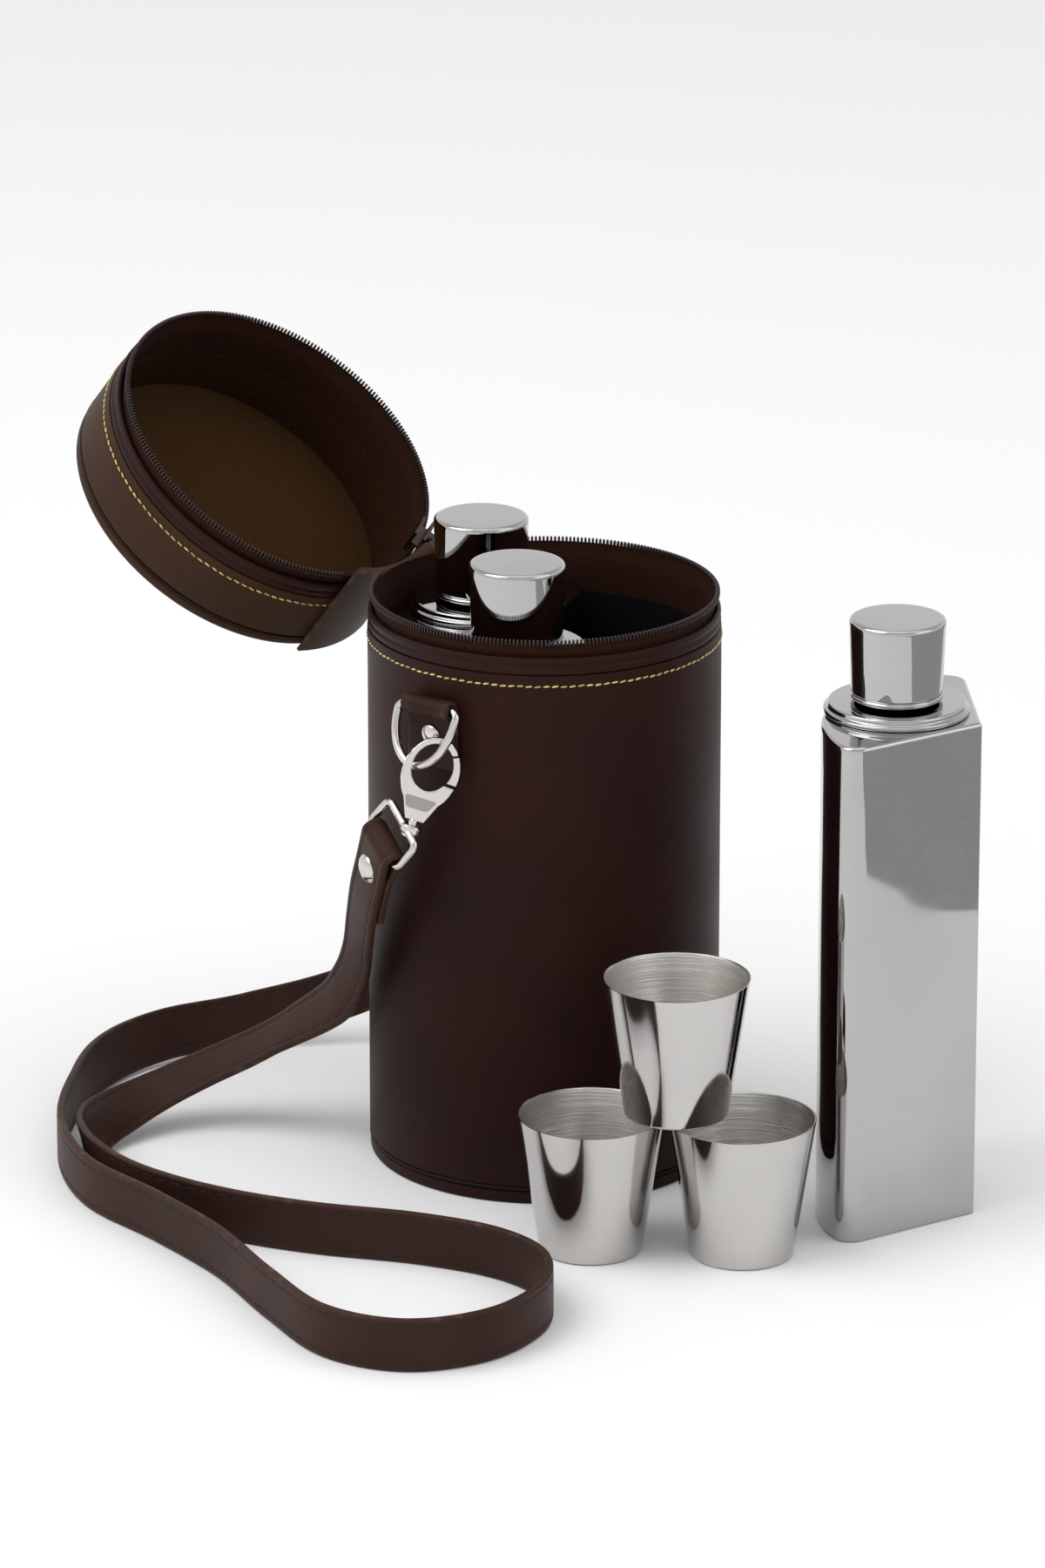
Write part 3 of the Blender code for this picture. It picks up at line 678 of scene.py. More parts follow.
def eased(corners: Sequence[tuple[float, float, float]], closed: bool = True,
          steps: int = 4) -> list[Point]:
    """Round the corners of a section.

    Args:
        corners: x, y and rounding radius of each corner.
        closed: whether the last corner joins the first.
        steps: pieces in each rounding.

    Returns:
        The points of the rounded section.
    """
    points: list[Point] = []
    count = len(corners)
    for i, (x, y, radius) in enumerate(corners):
        here = Vector((x, y))
        if radius <= 0 or (not closed and i in (0, count - 1)):
            points.append((x, y))
            continue
        before = Vector(corners[i - 1][:2]) - here
        after = Vector(corners[(i + 1) % count][:2]) - here
        reach = min(radius, before.length * CORNER_SHARE, after.length * CORNER_SHARE)
        one, two = here + before.normalized() * reach, here + after.normalized() * reach
        for k in range(steps + 1):
            s = k / steps
            spot = one * (1 - s) ** 2 + here * 2 * s * (1 - s) + two * s * s
            points.append((spot.x, spot.y))
    return points


def refined(profile: Sequence[Point], longest: float) -> list[Point]:
    """Split the long stretches of a profile.

    Args:
        profile: the profile's points.
        longest: the longest stretch kept.

    Returns:
        The profile with more points.
    """
    points = [profile[0]]
    for one, two in zip(profile, profile[1:]):
        pieces = max(1, math.ceil(math.dist(one, two) / longest))
        points += [(one[0] + (two[0] - one[0]) * k / pieces,
                    one[1] + (two[1] - one[1]) * k / pieces) for k in range(1, pieces + 1)]
    return points


def turned(profile: Sequence[Point], steps: int = 160, closed: bool = True,
           sway: Callable[[float, float, float], float] | None = None) -> bmesh.types.BMesh:
    """Turn a section about Z and lay out its surface in metres.

    Args:
        profile: radius and height of each point.
        steps: how many pieces the turn has.
        closed: whether the section is a closed outline.
        sway: an outward shift for an angle, a height and a radius.

    Returns:
        The mesh.
    """
    bm = bmesh.new()
    lay = bm.loops.layers.uv.new("unrolled")
    widest = max(r for r, _ in profile)
    walked = [0.0]
    for one, two in zip(profile, list(profile[1:]) + [profile[0]]):
        walked.append(walked[-1] + math.dist(one, two))
    grid: list[list[bmesh.types.BMVert]] = []
    for i in range(steps):
        angle = math.radians(360.0 * i / steps)
        column = []
        for j, (r, z) in enumerate(profile):
            if r < ON_AXIS and grid:
                column.append(grid[0][j])
                continue
            out = r + (sway(angle, z, r) if sway and r > ON_AXIS else 0.0)
            column.append(bm.verts.new((out * math.cos(angle), out * math.sin(angle), z)))
        grid.append(column)
    last = len(profile)
    pairs = [(j, j + 1) for j in range(last - 1)] + ([(last - 1, 0)] if closed else [])
    arc_length = math.radians(360.0) * widest / steps
    for i in range(steps):
        one, two = grid[i], grid[(i + 1) % steps]
        for j, k in pairs:
            spots = [(one[j], i, j), (two[j], i + 1, j), (two[k], i + 1, j + 1),
                     (one[k], i, j + 1)]
            kept = [s for n, s in enumerate(spots) if s[0] is not spots[n - 1][0]]
            if len(kept) < 3:
                continue
            face = bm.faces.new([s[0] for s in kept])
            for loop, (_, turn, along) in zip(face.loops, kept):
                loop[lay].uv = (turn * arc_length * MM, walked[along] * MM)
    return bm


def lofted(rings: Sequence[Sequence[Vector]], around: bool = False,
           edge: Callable[[int, int], float] | None = None) -> bmesh.types.BMesh:
    """Skin rings of equal counts.

    Args:
        rings: the rings' points.
        around: whether the last ring joins the first; if not, both ends are closed.
        edge: how rubbed a point is, 0 to 1, from its ring and place.

    Returns:
        The mesh, unrolled in metres.
    """
    bm = bmesh.new()
    lay = bm.loops.layers.uv.new("unrolled")
    rub = bm.verts.layers.float.new("edge") if edge else None
    made = [[bm.verts.new(point) for point in ring] for ring in rings]
    if edge:
        for i, ring in enumerate(made):
            for j, vert in enumerate(ring):
                vert[rub] = edge(i, j)
    count = len(made[0])
    round_walk, long_walk = [0.0], [0.0]
    for j in range(count):
        round_walk.append(round_walk[-1] + (Vector(rings[0][(j + 1) % count])
                                            - Vector(rings[0][j])).length)
    for one, two in zip(rings, list(rings[1:]) + [rings[0]]):
        long_walk.append(long_walk[-1] + (Vector(two[0]) - Vector(one[0])).length)
    pairs = [(i, i + 1) for i in range(len(made) - 1)] + ([(len(made) - 1, 0)] if around else [])
    for i, k in pairs:
        for j in range(count):
            n = (j + 1) % count
            face = bm.faces.new((made[i][j], made[i][n], made[k][n], made[k][j]))
            spots = ((j, i), (j + 1, i), (j + 1, i + 1), (j, i + 1))
            for loop, (a, b) in zip(face.loops, spots):
                loop[lay].uv = (round_walk[a] * MM, long_walk[b] * MM)
    if not around:
        bm.faces.new(made[0])
        bm.faces.new(made[-1])
    return bm


def wire_loop(path: Sequence[Vector], radius: float, flat: Vector,
              sides: int = 18) -> bmesh.types.BMesh:
    """A closed ring of round wire in a plane with the given normal.

    Args:
        path: the ring's centre line.
        radius: the wire's radius.
        flat: the normal of the ring's plane.
        sides: the wire's sides.

    Returns:
        The mesh.
    """
    rings = []
    for i, point in enumerate(path):
        along = (path[(i + 1) % len(path)] - path[i - 1]).normalized()
        across = along.cross(flat).normalized()
        turns = [2 * math.pi * k / sides for k in range(sides)]
        rings.append([point + radius * (math.cos(t) * across + math.sin(t) * flat)
                      for t in turns])
    return lofted(rings, around=True)


def add_bead(bm: bmesh.types.BMesh, middle: Vector, along: Vector, out: Vector, length: float,
             radii: Point, sides: int = 6, slot: int = 0) -> None:
    """Add a rounded bead, such as a stitch or a zip tooth.

    Args:
        bm: the mesh to add to.
        middle: its middle.
        along: unit direction of its length.
        out: unit direction out of the surface.
        length: its whole length.
        radii: half sizes across and outward.
        sides: how many sides it has.
        slot: the material slot of its faces.
    """
    across = along.cross(out).normalized()
    rows = []
    for step, size in ((-1.0, 0.0), (-0.84, 0.58), (-0.45, 0.94), (0.45, 0.94), (0.84, 0.58),
                       (1.0, 0.0)):
        spot = middle + along * step * length / 2
        if size == 0.0:
            rows.append([bm.verts.new(spot)])
            continue
        row = []
        for k in range(sides):
            turn = 2 * math.pi * k / sides
            row.append(bm.verts.new(spot + across * math.cos(turn) * radii[0] * size
                                    + out * math.sin(turn) * radii[1] * size))
        rows.append(row)
    for one, two in zip(rows, rows[1:]):
        for k in range(sides):
            n = (k + 1) % sides
            ring = [one[k % len(one)], one[n % len(one)], two[n % len(two)], two[k % len(two)]]
            kept = list(dict.fromkeys(ring))
            bm.faces.new(kept).material_index = slot


def merged(meshes: Iterable[bmesh.types.BMesh]) -> bmesh.types.BMesh:
    """Put several meshes into one.

    Args:
        meshes: the meshes, which are used up.

    Returns:
        The whole mesh.
    """
    whole = bmesh.new()
    whole.loops.layers.uv.new("unrolled")
    for one in meshes:
        held = bpy.data.meshes.new("held")
        one.to_mesh(held)
        one.free()
        whole.from_mesh(held)
        bpy.data.meshes.remove(held)
    return whole


def moved(bm: bmesh.types.BMesh, place: Matrix) -> bmesh.types.BMesh:
    """The same mesh, transformed."""
    bmesh.ops.transform(bm, matrix=place, verts=bm.verts)
    return bm


def basis(origin: Vector, x_axis: Vector, y_axis: Vector, z_axis: Vector) -> Matrix:
    """The matrix that takes a local frame with these axes to its place.

    Args:
        origin: where it is.
        x_axis: where its X points.
        y_axis: where its Y points.
        z_axis: where its Z points.

    Returns:
        The matrix.
    """
    place = Matrix((x_axis, y_axis, z_axis)).transposed().to_4x4()
    place.translation = origin
    return place


def about(origin: Vector, axis: Vector) -> Matrix:
    """A place whose Z points along axis.

    Args:
        origin: where it is.
        axis: where its Z points.

    Returns:
        The matrix.
    """
    place = axis.to_track_quat("Z", "Y").to_matrix().to_4x4()
    place.translation = origin
    return place


def plate(outline: Sequence[Point], back: float, front: float,
          place: Matrix) -> bmesh.types.BMesh:
    """A flat plate of the outline's shape."""
    return lofted([[place @ Vector((x, y, depth)) for x, y in outline]
                   for depth in (back, front)])


def shown(name: str, data: bpy.types.ID) -> bpy.types.Object:
    """Link a new object for a mesh, light or camera into the scene and return it.

    Args:
        name: its name.
        data: its mesh, light or camera.

    Returns:
        The object.
    """
    made = bpy.data.objects.new(name, data)
    bpy.context.scene.collection.objects.link(made)
    return made


def as_mesh(name: str, bm: bmesh.types.BMesh) -> bpy.types.Mesh:
    """Turn a mesh being built into mesh data, and free it.

    Args:
        name: its name.
        bm: the mesh.

    Returns:
        The mesh data.
    """
    mesh = bpy.data.meshes.new(name)
    bm.to_mesh(mesh)
    bm.free()
    return mesh


@dataclass
class Maker:
    """Turns meshes into the object's pieces and keeps their count."""

    made: int = 0

    def piece(self, name: str, bm: bmesh.types.BMesh, finishes: Sequence[Finish], body: str,
              slot: Slot, replaces: Sequence[str] = (), bevel: float = 0.0,
              sharp: float = 38.0, rides: bool = True) -> bpy.types.Object:
        """Make a piece from a mesh in millimetres.

        Args:
            name: the piece's name.
            bm: its mesh, which is used up.
            finishes: the finishes of its material slots.
            body: the body that it rides on.
            slot: the record's material slot; not used.
            replaces: the frame's nodes that it stands for.
            bevel: width of rounded edges in millimetres.
            sharp: angle from which an edge is sharp, in degrees.
            rides: whether to ride on the body now.

        Returns:
            The new object.
        """
        bmesh.ops.scale(bm, verts=bm.verts, vec=(MM, MM, MM))
        bmesh.ops.recalc_face_normals(bm, faces=bm.faces)
        mesh = as_mesh(name, bm)
        mesh.shade_smooth()
        mesh.set_sharp_from_angle(angle=math.radians(sharp))
        for finish in finishes:
            mesh.materials.append(finish.material())
        obj = shown(name, mesh)
        if bevel:
            self.rounded(obj, bevel)
        weighted = obj.modifiers.new("Even shading", "WEIGHTED_NORMAL")
        weighted.keep_sharp = True
        if rides:
            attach(obj, body)
        if replaces:
            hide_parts(*replaces)
        self.made += 1
        LOG.info("made %s on %s", name, body)
        return obj

    @staticmethod
    def rounded(obj: bpy.types.Object, width: float) -> None:
        """Round an object's sharp edges by a width in millimetres.

        Args:
            obj: the object.
            width: the width in millimetres.
        """
        soft = obj.modifiers.new("Rounded edges", "BEVEL")
        soft.width = width * MM
        soft.segments = 3
        soft.limit_method = "ANGLE"
        soft.angle_limit = math.radians(40)
        soft.harden_normals = False

    def node(self, frame: dict, name: str, finish: Finish, bevel: float = 0.0) -> None:
        """Dress one of the frame's own nodes in a finish.

        Args:
            frame: the loaded frame.
            name: its name.
            finish: its finish.
            bevel: width of rounded edges in millimetres.
        """
        obj = frame["nodes"][name]
        if not obj.material_slots:
            obj.data.materials.append(finish.material())
        for held in obj.material_slots:
            held.link = "OBJECT"
            held.material = finish.material()
        if bevel:
            self.rounded(obj, bevel)
        LOG.info("dressed %s", name)


# ---- case and lid -------------------------------------------------------------------------------
@dataclass
class Shell:
    """Sizes that the case and the lid share, in millimetres."""

    radius: float = 62.5
    leather: float = 1.2
    lining_inner: float = 59.0
    lining_outer: float = 59.7
    lining_top: float = 189.6
    parting: float = 209.4
    wrap_top: float = 196.2
    rim_top: float = 202.6
    seam_gap: float = 0.3
    lid_height: float = 41.0
    stitch_below: float = 3.7
    stitch_pitch: float = 3.05
    stitch_proud: float = 0.12
    piping_at: float = 61.95
    piping_wire: float = 0.66
    coil_radius: float = 61.0
    coil_pitch: float = 1.38
    coil_from: float = 110.0
    open_angle: float = 141.4
    hinge: Vector = Vector((0.0, 65.0, 204.7))

    def opened(self) -> Matrix:
        """The matrix that opens a lid modelled shut."""
        turn = Matrix.Rotation(-math.radians(self.open_angle), 4, "X")
        return Matrix.Translation(self.hinge) @ turn @ Matrix.Translation(-self.hinge)

    def wall(self, low: float, high: float) -> bmesh.types.BMesh:
        """A leather wall with soft edges and the slight unevenness of glued hide.

        Args:
            low: the foot's height.
            high: the top's height.

        Returns:
            The mesh.
        """
        inner = self.radius - self.leather

        def sway(angle: float, z: float, r: float) -> float:
            """Small swells in the outer face.

            Args:
                angle: the angle round the axis.
                z: the height.
                r: the radius.

            Returns:
                The shift outward.
            """
            if r < self.radius - 0.5:
                return 0.0
            return 0.06 * math.sin(3 * angle + z / 31) + 0.04 * math.sin(7 * angle - z / 17)

        section = eased([(inner, low, 0.3), (self.radius, low, 0.5), (self.radius, high, 0.5),
                         (inner, high, 0.3)])
        return turned(refined(section, 9.0), ROUND_STEPS, sway=sway)

    def stitches(self, height: float, slant: float) -> bmesh.types.BMesh:
        """A row of slanted stitches round the wall.

        Args:
            height: the row's height.
            slant: the slant in degrees.

        Returns:
            The mesh.
        """
        bm = bmesh.new()
        count = round(2 * math.pi * self.radius / self.stitch_pitch)
        for i in range(count):
            angle = 2 * math.pi * i / count
            out = Vector((math.cos(angle), math.sin(angle), 0))
            tangent = Vector((-out.y, out.x, 0))
            tilt = math.radians(slant + 3.0 * math.sin(i * 2.4))
            along = tangent * math.cos(tilt) + UP * math.sin(tilt)
            spot = out * (self.radius + self.stitch_proud)
            spot += Vector((0, 0, height + 0.10 * math.sin(i * 1.7)))
            add_bead(bm, spot, along, out, self.stitch_pitch * 0.80, (0.36, 0.30))
        return bm

    def coil(self, low: float, high: float, last: float = 430.0) -> bmesh.types.BMesh:
        """One side of the zip's coil, open at the hinge, up to an angle in degrees.

        Args:
            low: the teeth's foot.
            high: the teeth's top.
            last: the angle of the last tooth.

        Returns:
            The mesh.
        """
        bm = bmesh.new()
        start, end = math.radians(self.coil_from), math.radians(last)
        count = round((end - start) * self.coil_radius / self.coil_pitch)
        for i in range(count + 1):
            angle = start + (end - start) * i / count
            out = Vector((math.cos(angle), math.sin(angle), 0))
            spot = out * (self.coil_radius + 0.1) + UP * (low + high) / 2
            add_bead(bm, spot, UP, out, high - low, (0.50, 1.0))
        return bm

    def tape(self, fold: Callable[[float], float]) -> bmesh.types.BMesh:
        """The zip's woven tape.

        Args:
            fold: maps a height on the case to the height wanted.

        Returns:
            The tape's mesh.
        """
        outer = [(59.7, 190.0), (59.72, 199.0), (59.9, 201.6), (60.4, 203.6), (60.9, 204.9),
                 (61.0, 207.3)]
        inner = [(r - 0.6, z) for r, z in reversed(outer)]
        return turned([(r, fold(z)) for r, z in outer + inner], ROUND_STEPS)

    def lining(self, low: float, high: float) -> list[Point]:
        """The section of a lining cloth."""
        return eased([(self.lining_inner, low, 0.2), (self.lining_outer, low, 0.2),
                      (self.lining_outer, high, 0.2), (self.lining_inner, high, 0.2)])

    def rim(self, low: float, high: float) -> bmesh.types.BMesh:
        """The leather band that binds the rim, with a pressed line along it.

        Args:
            low: the band's lower edge.
            high: its upper edge.

        Returns:
            The mesh.
        """
        middle = (low + high) / 2
        section = [(60.9, low, 0.2), (62.25, low, 0.5), (62.4, middle - 1.2, 0.4),
                   (62.02, middle - 0.35, 0.25), (62.02, middle + 0.35, 0.25),
                   (62.4, middle + 1.2, 0.4), (62.15, high, 0.5), (60.9, high, 0.2)]
        return turned(eased(section, steps=3), ROUND_STEPS)

    def piping(self, middle: float) -> bmesh.types.BMesh:
        """The thin piping at the foot or the crown."""
        wire = (self.piping_wire, self.piping_wire)
        return turned(arc((self.piping_at, middle), wire, 0, 330, 12), ROUND_STEPS)


@dataclass
class Case:
    """The fixed cylinder with its lining, floor and half of the zip."""

    shell: Shell
    base_thick: float = 4.6
    pad_low: float = 7.9
    pad_top: float = 11.8

    def build(self, maker: Maker, frame: dict) -> None:
        """Build every piece of the case.

        Args:
            maker: what makes the pieces.
            frame: the loaded frame.
        """
        shell = self.shell
        maker.piece("case_leather", shell.wall(6.4, shell.wrap_top), [CASE_HIDE], "case",
                    Slot.LEATHER, ["case_wrap"])
        foot = eased([(0, 0, 0), (62.3, 0, 1.5), (62.3, self.base_thick, 0.7),
                      (0, self.base_thick, 0)], closed=False, steps=6)
        maker.piece("case_foot", turned(foot, ROUND_STEPS, closed=False), [CASE_HIDE], "case",
                    Slot.LEATHER, ["case_base"])
        maker.piece("case_piping", shell.piping(5.5), [PIPING_HIDE], "case", Slot.WELT,
                    ["case_welt"])
        rim = shell.rim(shell.wrap_top + shell.seam_gap, shell.rim_top)
        maker.piece("case_rim", rim, [RIM_HIDE], "case", Slot.LEATHER, ["case_rim_band"])
        maker.piece("case_tape", shell.tape(lambda z: z), [ZIP_TAPE], "case", Slot.TAPE,
                    ["case_zip_tape"])
        maker.piece("case_coil", shell.coil(shell.parting - 2.9, shell.parting - 0.3, 418.0),
                    [ZIP_COIL], "case", Slot.COIL, ["case_zip_teeth"], sharp=60)
        maker.piece("case_stitching",
                    shell.stitches(shell.wrap_top - shell.stitch_below, 8.0), [CREAM_THREAD],
                    "case", Slot.LEATHER, sharp=80)
        lining = shell.lining(self.pad_low, shell.lining_top)
        maker.piece("case_lining_cloth", turned(refined(lining, 12.0)), [CASE_CLOTH], "case",
                    Slot.LINING, ["case_lining"])
        pad = eased([(0, self.pad_low, 0), (58.6, self.pad_low, 0.5),
                     (58.6, self.pad_top, 1.6), (54.0, self.pad_top, 1.0),
                     (0, self.pad_top - 0.1, 0)], closed=False)
        maker.piece("floor_cushion", turned(pad, 128, closed=False), [CASE_CLOTH], "case",
                    Slot.LINING, ["floor_pad"])
        maker.node(frame, "case_core", BOARD)
        maker.node(frame, "floor_board", BOARD)
        for word in ("left", "right"):
            maker.node(frame, f"tab_rivet_back_{word}", NICKEL, 0.15)


@dataclass
class Lid:
    """The lid with its lining, its half of the zip, the slider and the pull."""

    shell: Shell
    ceiling_deep: float = 2.7
    crown_radius: float = 62.25
    crown_edge: float = 4.6
    crown_thick: float = 1.1
    hinge_half_angle: float = 17.0
    hinge_foot: float = 160.0
    hinge_fold_foot: float = 202.0
    hinge_fold_top: float = 207.5

    def build(self, maker: Maker, frame: dict) -> None:
        """Build every piece of the lid in its opened place.

        Args:
            maker: what makes the pieces.
            frame: the loaded frame.
        """
        shell = self.shell
        opened = shell.opened()
        parting = shell.parting
        top = parting + shell.lid_height
        low = 2 * parting - shell.wrap_top
        maker.piece("lid_leather", moved(shell.wall(low, top - 6.4), opened), [LID_HIDE],
                    "lid", Slot.LEATHER, ["lid_wrap"])
        wide, edge = self.crown_radius, top - self.crown_edge
        under = top - self.crown_thick
        crown = eased([(0, top, 0), (60.0, top, 3.0), (wide, top - 1.6, 1.4), (wide, edge, 0.6),
                       (61.3, edge, 0.2), (61.3, top - 1.9, 0.4), (60.6, under, 0.3),
                       (0, under, 0)], closed=False, steps=6)
        crown_mesh = moved(turned(crown, ROUND_STEPS, closed=False), opened)
        maker.piece("lid_crown", crown_mesh, [LID_HIDE], "lid", Slot.LEATHER, ["lid_top"])
        maker.piece("lid_piping", moved(shell.piping(top - 5.5), opened), [PIPING_HIDE], "lid",
                    Slot.WELT, ["lid_welt"])
        rim = shell.rim(2 * parting - shell.rim_top, low - shell.seam_gap)
        maker.piece("lid_rim", moved(rim, opened), [RIM_HIDE], "lid", Slot.LEATHER,
                    ["lid_rim_band"])
        maker.piece("lid_tape", moved(shell.tape(lambda z: 2 * parting - z), opened),
                    [ZIP_TAPE], "lid", Slot.TAPE, ["lid_zip_tape"])
        maker.piece("lid_coil", moved(shell.coil(parting + 0.3, parting + 2.9), opened),
                    [ZIP_COIL], "lid", Slot.COIL, ["lid_zip_teeth"], sharp=60)
        maker.piece("lid_stitching",
                    moved(shell.stitches(low + shell.stitch_below, -8.0), opened),
                    [CREAM_THREAD], "lid", Slot.LEATHER, sharp=80)
        lining = shell.lining(2 * parting - shell.lining_top, top - self.ceiling_deep)

        def gathered(angle: float, z: float, r: float) -> float:
            """Soft upright folds of the lining.

            Args:
                angle: the angle round the axis.
                z: the height; not used.
                r: the radius.

            Returns:
                The shift outward.
            """
            if r > shell.lining_inner + 0.3:
                return 0.0
            return -0.55 * max(0.0, math.sin(11 * angle + 0.7 * math.sin(3 * angle))) ** 4

        # the wall lining takes the darker copy of the lid's lining cloth, which is painted shade
        maker.piece("lid_lining_cloth",
                    moved(turned(refined(lining, 6.0), ROUND_STEPS, sway=gathered), opened),
                    [LID_CLOTH_SHADED_COPY], "lid", Slot.LINING, ["lid_lining"])
        back = top - self.ceiling_deep
        ceiling = eased([(0, back, 0), (58.6, back, 0.3), (58.6, top - 3.5, 0.5),
                         (0, top - 3.4, 0)], closed=False)
        disc = turned(ceiling, 128, closed=False)
        self.lay_flat(disc)
        maker.piece("lid_ceiling", moved(disc, opened), [LID_CLOTH], "lid", Slot.LINING,
                    ["lid_liner_disc"])
        maker.node(frame, "lid_core", BOARD)
        maker.node(frame, "lid_board", BOARD)
        maker.node(frame, "zip_slider", DARK_METAL, 0.3)
        maker.node(frame, "zip_pull", PULL_HIDE, 0.45)
        self.build_hinge(maker)

    @staticmethod
    def lay_flat(bm: bmesh.types.BMesh) -> None:
        """Lay a disc's cloth out in straight threads instead of round ones.

        Args:
            bm: the mesh.
        """
        lay = bm.loops.layers.uv["unrolled"]
        for face in bm.faces:
            for loop in face.loops:
                loop[lay].uv = (loop.vert.co.x * MM, loop.vert.co.y * MM)

    def build_hinge(self, maker: Maker) -> None:
        """The leather hinge that runs from the case over the fold to the lid.

        Args:
            maker: what makes the pieces.
        """
        shell = self.shell
        opened = shell.opened()
        top = shell.parting + shell.lid_height
        foot, fold_top = self.hinge_foot, self.hinge_fold_top
        rise, steps, columns, fullness = self.hinge_fold_foot - foot, 14, 24, 1.8
        rows = []
        for i in range(columns + 1):
            swing = math.radians(-self.hinge_half_angle + 2 * self.hinge_half_angle * i / columns)
            line: list[Vector] = []
            for radius, order in ((62.8, 1), (64.0, -1)):
                out = Vector((math.sin(swing), math.cos(swing), 0)) * radius
                low = [out + Vector((0, 0, foot + rise * k / steps)) for k in range(steps + 1)]
                high = [opened @ (out + Vector((0, 0, fold_top + (top - fold_top) * k / steps)))
                        for k in range(steps + 1)]
                gap = (high[0] - low[-1]).length
                enter = (high[1] - high[0]).normalized()
                fold = []
                for k in range(1, steps):
                    t = k / steps
                    fold.append(low[-1] * (2 * t**3 - 3 * t**2 + 1)
                                + UP * (t**3 - 2 * t**2 + t) * gap * fullness
                                + high[0] * (3 * t**2 - 2 * t**3)
                                + enter * (t**3 - t**2) * gap * fullness)
                line += (low + fold + high)[::order]
            rows.append(line)
        count = len(rows[0])

        def edge(i: int, j: int) -> float:
            """The strip's cut edges are rubbed."""
            return 1.0 if i in (0, columns) or j in (0, count // 2 - 1, count // 2,
                                                     count - 1) else 0.0

        piece = maker.piece("hinge_leather", lofted(rows, edge=edge), [LID_HIDE], "case",
                            Slot.LEATHER, ["hinge_panel_case", "hinge_panel_lid"], rides=False)
        piece.modifiers.remove(piece.modifiers["Even shading"])
        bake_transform(piece)


